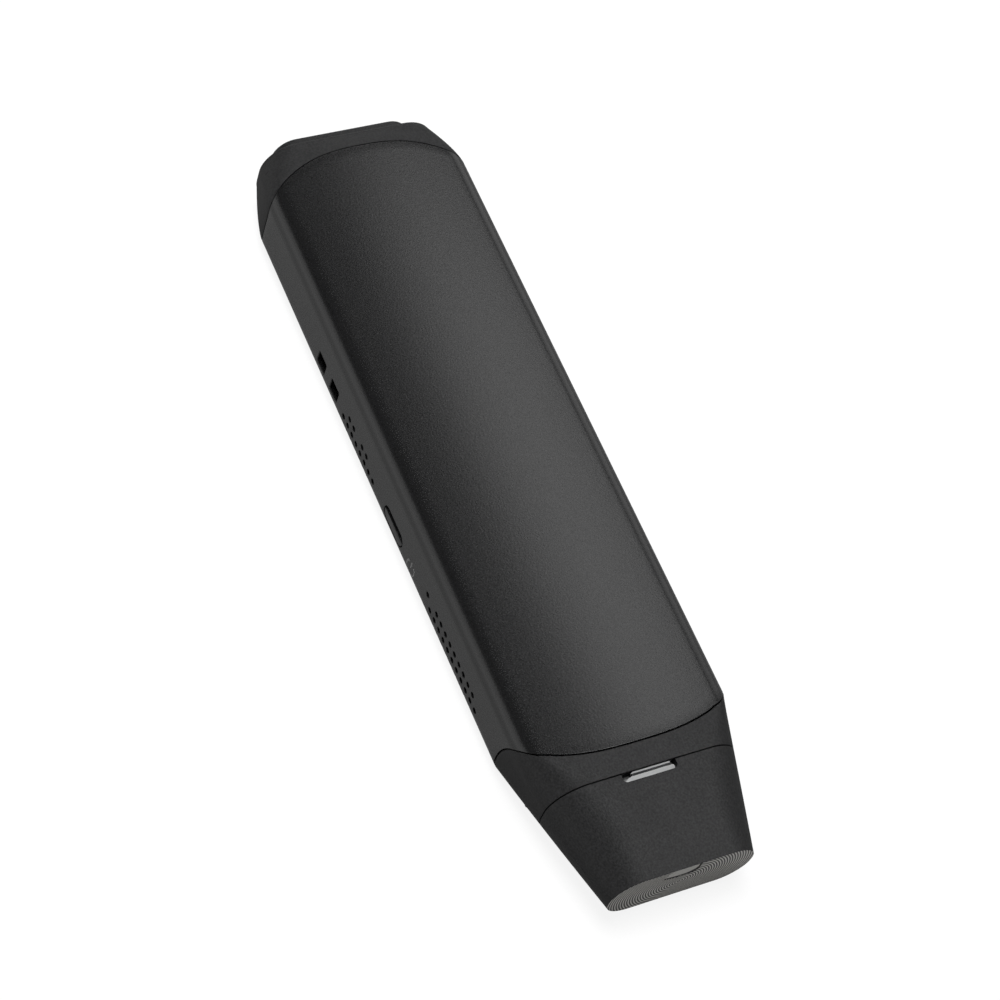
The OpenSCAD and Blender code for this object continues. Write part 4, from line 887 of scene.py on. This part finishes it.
# Finish of each slot: name, colour, its spread, roughness, its spread, grain, its depth, metallic, stretch
END_FINISH = ((0.0205, 0.0205, 0.021), 0.45, 0.6, 0.04, GRAIN, 4.0e-5)
materials = {
    "shell": textured("shell_plastic", (0.0095, 0.0095, 0.0099), 0.3, 0.28, 0.085, GRAIN, 1.65e-5,
                      specular=0.6, cloud_share=1.1),
    "end_shell": textured("end_plastic", *END_FINISH, specular=0.4),
    "underside": textured("underside_plastic", (0.013, 0.013, 0.0137), 0.25, 0.52, 0.03, GRAIN, 1.8e-5),
    "bezel": textured("bezel_plastic", *END_FINISH, specular=0.4),
    "button": textured("button_plastic", (0.012, 0.012, 0.0125), 0.2, 0.29, 0.03, GRAIN, 1.0e-5,
                       specular=0.6),
    "cap_lining": textured("lining_plastic", (0.03, 0.03, 0.031), 0.2, 0.5, 0.04, 3000, 1.0e-5),
    "end_metal": turned_metal_painted_shade(),
    "lip_metal": textured("plain_metal", (0.62, 0.61, 0.58), 0.1, 0.35, 0.04, 3000, 2.0e-6, 1.0),
    "clear": textured("frosted_lens", (0.35, 0.355, 0.355), 0.05, 0.35, 0.04, 3000, 3.0e-6),
    "lamp": textured("lamp_body", (0.85, 0.84, 0.72), 0.04, 0.3, 0.04, 3000, 2.0e-6),
    "dark_screw": textured("black_steel", (0.05, 0.05, 0.052), 0.2, 0.38, 0.06, 3500, 2.0e-6, 1.0),
    "bright_screw": textured("plated_steel", (0.55, 0.55, 0.56), 0.1, 0.3, 0.06, 3500, 2.0e-6, 1.0),
    "board": textured("solder_resist", (0.01, 0.07, 0.035), 0.3, 0.35, 0.08, 1200, 4.0e-6),
    "chip": textured("chip_mould", (0.018, 0.018, 0.019), 0.2, 0.55, 0.06, 5000, 6.0e-6),
    "pad": textured("thermal_rubber", (0.36, 0.42, 0.46), 0.1, 0.7, 0.06, 2500, 1.0e-5),
    "sink": textured("drawn_aluminium", (0.6, 0.6, 0.61), 0.08, 0.34, 0.06, 2500, 3.0e-6, 1.0,
                     (0.04, 1, 1)),
    "tin": textured("tinned_steel", (0.66, 0.66, 0.65), 0.08, 0.3, 0.07, 1800, 3.0e-6, 1.0),
    "ceramic": textured("fired_ceramic", (0.45, 0.34, 0.22), 0.15, 0.5, 0.06, 4000, 4.0e-6),
    "black_plastic": textured("moulded_black", (0.016, 0.016, 0.017), 0.2, 0.45, 0.05, 3500, 6.0e-6),
    "blue_plastic": textured("moulded_blue", (0.012, 0.07, 0.42), 0.12, 0.42, 0.05, 3500, 5.0e-6),
    "white_plastic": textured("moulded_white", (0.7, 0.7, 0.68), 0.04, 0.45, 0.05, 3500, 5.0e-6),
    "shaft": textured("ground_steel", (0.68, 0.68, 0.69), 0.06, 0.2, 0.04, 4000, 1.0e-6, 1.0,
                      (1, 1, 0.05)),
    "bronze": textured("sintered_bronze", (0.48, 0.32, 0.14), 0.2, 0.45, 0.08, 6000, 6.0e-6, 1.0),
    "copper": textured("wound_copper", (0.62, 0.28, 0.12), 0.2, 0.35, 0.06, 3000, 1.2e-5, 1.0,
                       (0.1, 0.1, 1.5)),
    "plug_metal": textured("plated_sheet", (0.66, 0.65, 0.62), 0.05, 0.26, 0.05, 1500, 2.0e-6, 1.0,
                           (0.15, 1, 1)),
    "gold": textured("gold_plate", (0.83, 0.58, 0.2), 0.06, 0.25, 0.05, 3000, 1.0e-6, 1.0),
    "print": textured("pale_print", (0.5, 0.5, 0.5), 0.05, 0.6, 0.05, 5000, 2.0e-6),
}


def dress(obj, slot_name, material=None):
    obj.data.materials.clear()
    obj.data.materials.append(materials[material or slot_name])
    for polygon in obj.data.polygons:
        polygon.material_index = 0


def place(obj, body, slot_name, *replaced, degrees=SMOOTH_DEGREES, material=None):
    shade(obj, degrees)
    dress(obj, slot_name, material)
    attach(obj, body)
    if replaced:
        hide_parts(*replaced)


# Pieces, each with its body, its slot and the CAD node that it stands for
place(make_sleeve(), "body", "shell", "main_sleeve")
place(make_rear_cover(), "body", "end_shell", "rear_cover")
place(make_bezel(), "body", "bezel", "port_bezel")
place(make_collar(), "body", "end_shell", "front_collar")
place(make_cap(), "cap", "end_shell", "cap_shell")
place(make_end_plate(), "cap", "end_metal", "cap_end_plate", degrees=50)
place(make_lens(), "body", "clear", "light_guide")
place(make_carrier(), "body", "black_plastic")
place(make_lip(), "cap", "end_metal", material="lip_metal")
place(make_button(), "button", "button", "power_button")
mark = make_mark()
dress(mark, "shell", "print")
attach(mark, "body")

# CAD nodes that stay: finish of their slot, and a small rounding along their edges
ROUNDING = {"bottom_cover": 0.15, "cap_liner": 0.15, "plug_shell": 0.08, "plug_insulator": 0.05,
            "rear_usb_shell": 0.08, "side_usb_shell": 0.08, "power_socket_shell": 0.06, "audio_jack": 0.1,
            "rear_usb_tongue": 0.1, "side_usb_tongue": 0.1, "power_socket_tongue": 0.05}
ROUNDING_SEGMENTS = 3
ROUNDING_DEGREES = 40
for part in frame["record"]["subparts"]:
    node = nodes[part["node"]]
    node.data.materials.clear()
    node.data.materials.append(materials[part["material_slot"]])
    if part["node"] in ROUNDING:
        bevel = node.modifiers.new("edges", "BEVEL")
        bevel.width = ROUNDING[part["node"]] * MM
        bevel.segments = ROUNDING_SEGMENTS
        bevel.limit_method = "ANGLE"
        bevel.angle_limit = math.radians(ROUNDING_DEGREES)
        bevel.harden_normals = False

# Floor and backdrops, in metres: glow where seen directly, and stops of place and glow in reflections
REACH = 3.0
FLOOR_Z = -5e-5
FLOOR_GLOW = 0.88
FLOOR_REACH = 0.4
FLOOR_STOPS = [(-0.08, 0.85), (-0.022, 0.165), (0, 0.165), (0.4, 0.1)]
BACKDROP_GLOW = 0.9
FAR_HEIGHT = 2.1
FAR_STOPS = [(-0.98, 0.95), (-0.66, 0.1)]
NEAR_HEIGHT = 1.2
NEAR_STOPS = [(-REACH, 0.85), (REACH, 0.85)]


def glowing_white(name, seen_glow, axis, reach, mirrored_stops):
    """Pale sheet that glows where it is seen directly, and in reflections by its stops along an axis."""
    material, tree_nodes, links, shader = new_material(name)
    shader.inputs["Base Color"].default_value = (0.15, 0.15, 0.15, 1)
    shader.inputs["Roughness"].default_value = 0.9
    shader.inputs["Specular IOR Level"].default_value = 0.1
    shader.inputs["Emission Color"].default_value = (1, 1, 1, 1)
    rays = tree_nodes.new("ShaderNodeLightPath")
    direct = tree_nodes.new("ShaderNodeMath")
    direct.operation = "MAXIMUM"
    links.new(rays.outputs["Is Camera Ray"], direct.inputs[0])
    links.new(rays.outputs["Is Transmission Ray"], direct.inputs[1])
    direct_glow = tree_nodes.new("ShaderNodeMath")
    direct_glow.operation = "MULTIPLY"
    direct_glow.inputs[1].default_value = seen_glow
    links.new(direct.outputs["Value"], direct_glow.inputs[0])
    coordinates = tree_nodes.new("ShaderNodeTexCoord")
    split = tree_nodes.new("ShaderNodeSeparateXYZ")
    links.new(coordinates.outputs["Object"], split.inputs["Vector"])
    along = tree_nodes.new("ShaderNodeMapRange")
    along.inputs["From Min"].default_value = -reach
    along.inputs["From Max"].default_value = reach
    links.new(split.outputs[axis], along.inputs["Value"])
    mirrored = tree_nodes.new("ShaderNodeValToRGB")
    elements = mirrored.color_ramp.elements
    while len(elements) < len(mirrored_stops):
        elements.new(0.5)
    for element, (stop_place, level) in zip(elements, mirrored_stops):
        element.position = 0.5 + 0.5 * stop_place / reach
        element.color = (level, level, level, 1)
    links.new(along.outputs["Result"], mirrored.inputs["Fac"])
    glow = tree_nodes.new("ShaderNodeMath")
    glow.operation = "MULTIPLY_ADD"
    links.new(rays.outputs["Is Glossy Ray"], glow.inputs[0])
    links.new(mirrored.outputs["Color"], glow.inputs[1])
    links.new(direct_glow.outputs["Value"], glow.inputs[2])
    links.new(glow.outputs["Value"], shader.inputs["Emission Strength"])
    return material


def stage_sheet(name, corners_m, material):
    sheet = mesh_object(name, [[c / MM for c in corner] for corner in corners_m], [(0, 1, 2, 3)])
    sheet.data.materials.append(material)


def upright_sheet(name, y, height, material):
    stage_sheet(name, [(-REACH, y, 0), (REACH, y, 0), (REACH, y, height), (-REACH, y, height)], material)


stage_sheet("floor", [(x, y, FLOOR_Z) for x, y in ((-REACH, -REACH), (REACH, -REACH), (REACH, REACH),
                                                   (-REACH, REACH))],
            glowing_white("pale_floor", FLOOR_GLOW, "Y", FLOOR_REACH, FLOOR_STOPS))
upright_sheet("backdrop", REACH, FAR_HEIGHT,
              glowing_white("pale_backdrop", BACKDROP_GLOW, "X", REACH, FAR_STOPS))
upright_sheet("near_backdrop", -REACH, NEAR_HEIGHT,
              glowing_white("pale_near_backdrop", BACKDROP_GLOW, "X", REACH, NEAR_STOPS))

# World: faint light all round, and white where it is seen directly
WORLD_LIGHT = 0.07
WORLD_SEEN = 1.0
world = bpy.data.worlds.new("studio")
bpy.context.scene.world = world
world.use_nodes = True
world_nodes = world.node_tree.nodes
world_links = world.node_tree.links
background = world_nodes["Background"]
background.inputs["Color"].default_value = (1, 1, 1, 1)
world_rays = world_nodes.new("ShaderNodeLightPath")
world_strength = world_nodes.new("ShaderNodeMapRange")
world_strength.inputs["To Min"].default_value = WORLD_LIGHT
world_strength.inputs["To Max"].default_value = WORLD_SEEN
world_links.new(world_rays.outputs["Is Camera Ray"], world_strength.inputs["Value"])
world_links.new(world_strength.outputs["Result"], background.inputs["Strength"])


# Lamps, in metres and watts: three that are seen in reflections, and one that lights the colours
def softbox(name, place_m, target_m, size, power):
    data = bpy.data.lights.new(name, "AREA")
    data.shape = "RECTANGLE"
    data.size = size[0]
    data.size_y = size[1]
    data.energy = power
    lamp = bpy.data.objects.new(name, data)
    bpy.context.scene.collection.objects.link(lamp)
    lamp.location = place_m
    lamp.rotation_euler = (Vector(target_m) - Vector(place_m)).to_track_quat("-Z", "Y").to_euler()
    return lamp


GLOSS_LAMPS = [
    ("reflection_softbox", (-0.35, 0.442, 0.72), (-0.35, 0, 0.01), (0.47, 0.33), 0.97),
    ("front_softbox", (0.289, 0.313, 0.883), (0.06, 0, 0.013), (0.4, 0.4), 2.9),
    ("rear_softbox", (-0.85, 0.31, 0.32), (-0.065, 0, 0.013), (0.35, 0.35), 0.9),
]
for lamp_values in GLOSS_LAMPS:
    softbox(*lamp_values).visible_diffuse = False
softbox("overhead_softbox", (-0.14, -0.1, 0.98), (0, 0, 0.01), (0.5, 0.5), 10.6).visible_glossy = False

# Camera, fitted to the photograph
RIGHT = Vector((0.3853, 0.8947, 0.2259))
DOWN = Vector((0.8268, -0.2261, -0.5150))
FORWARD = Vector((-0.4097, 0.3852, -0.8269))
CAMERA_PLACE = (0.17442, -0.16254, 0.35516)
LENS_PER_SENSOR = 2.71605
SENSOR_WIDTH = 36
NEAREST = 0.01
FARTHEST = 20
camera_data = bpy.data.cameras.new("camera")
camera_data.sensor_width = SENSOR_WIDTH
camera_data.lens = LENS_PER_SENSOR * SENSOR_WIDTH
camera_data.clip_start = NEAREST
camera_data.clip_end = FARTHEST
camera = bpy.data.objects.new("camera", camera_data)
bpy.context.scene.collection.objects.link(camera)
turn = Matrix((RIGHT, -DOWN, -FORWARD)).transposed()
camera.matrix_world = Matrix.Translation(CAMERA_PLACE) @ turn.to_4x4()
bpy.context.scene.camera = camera
bpy.context.scene.view_settings.view_transform = "Standard"
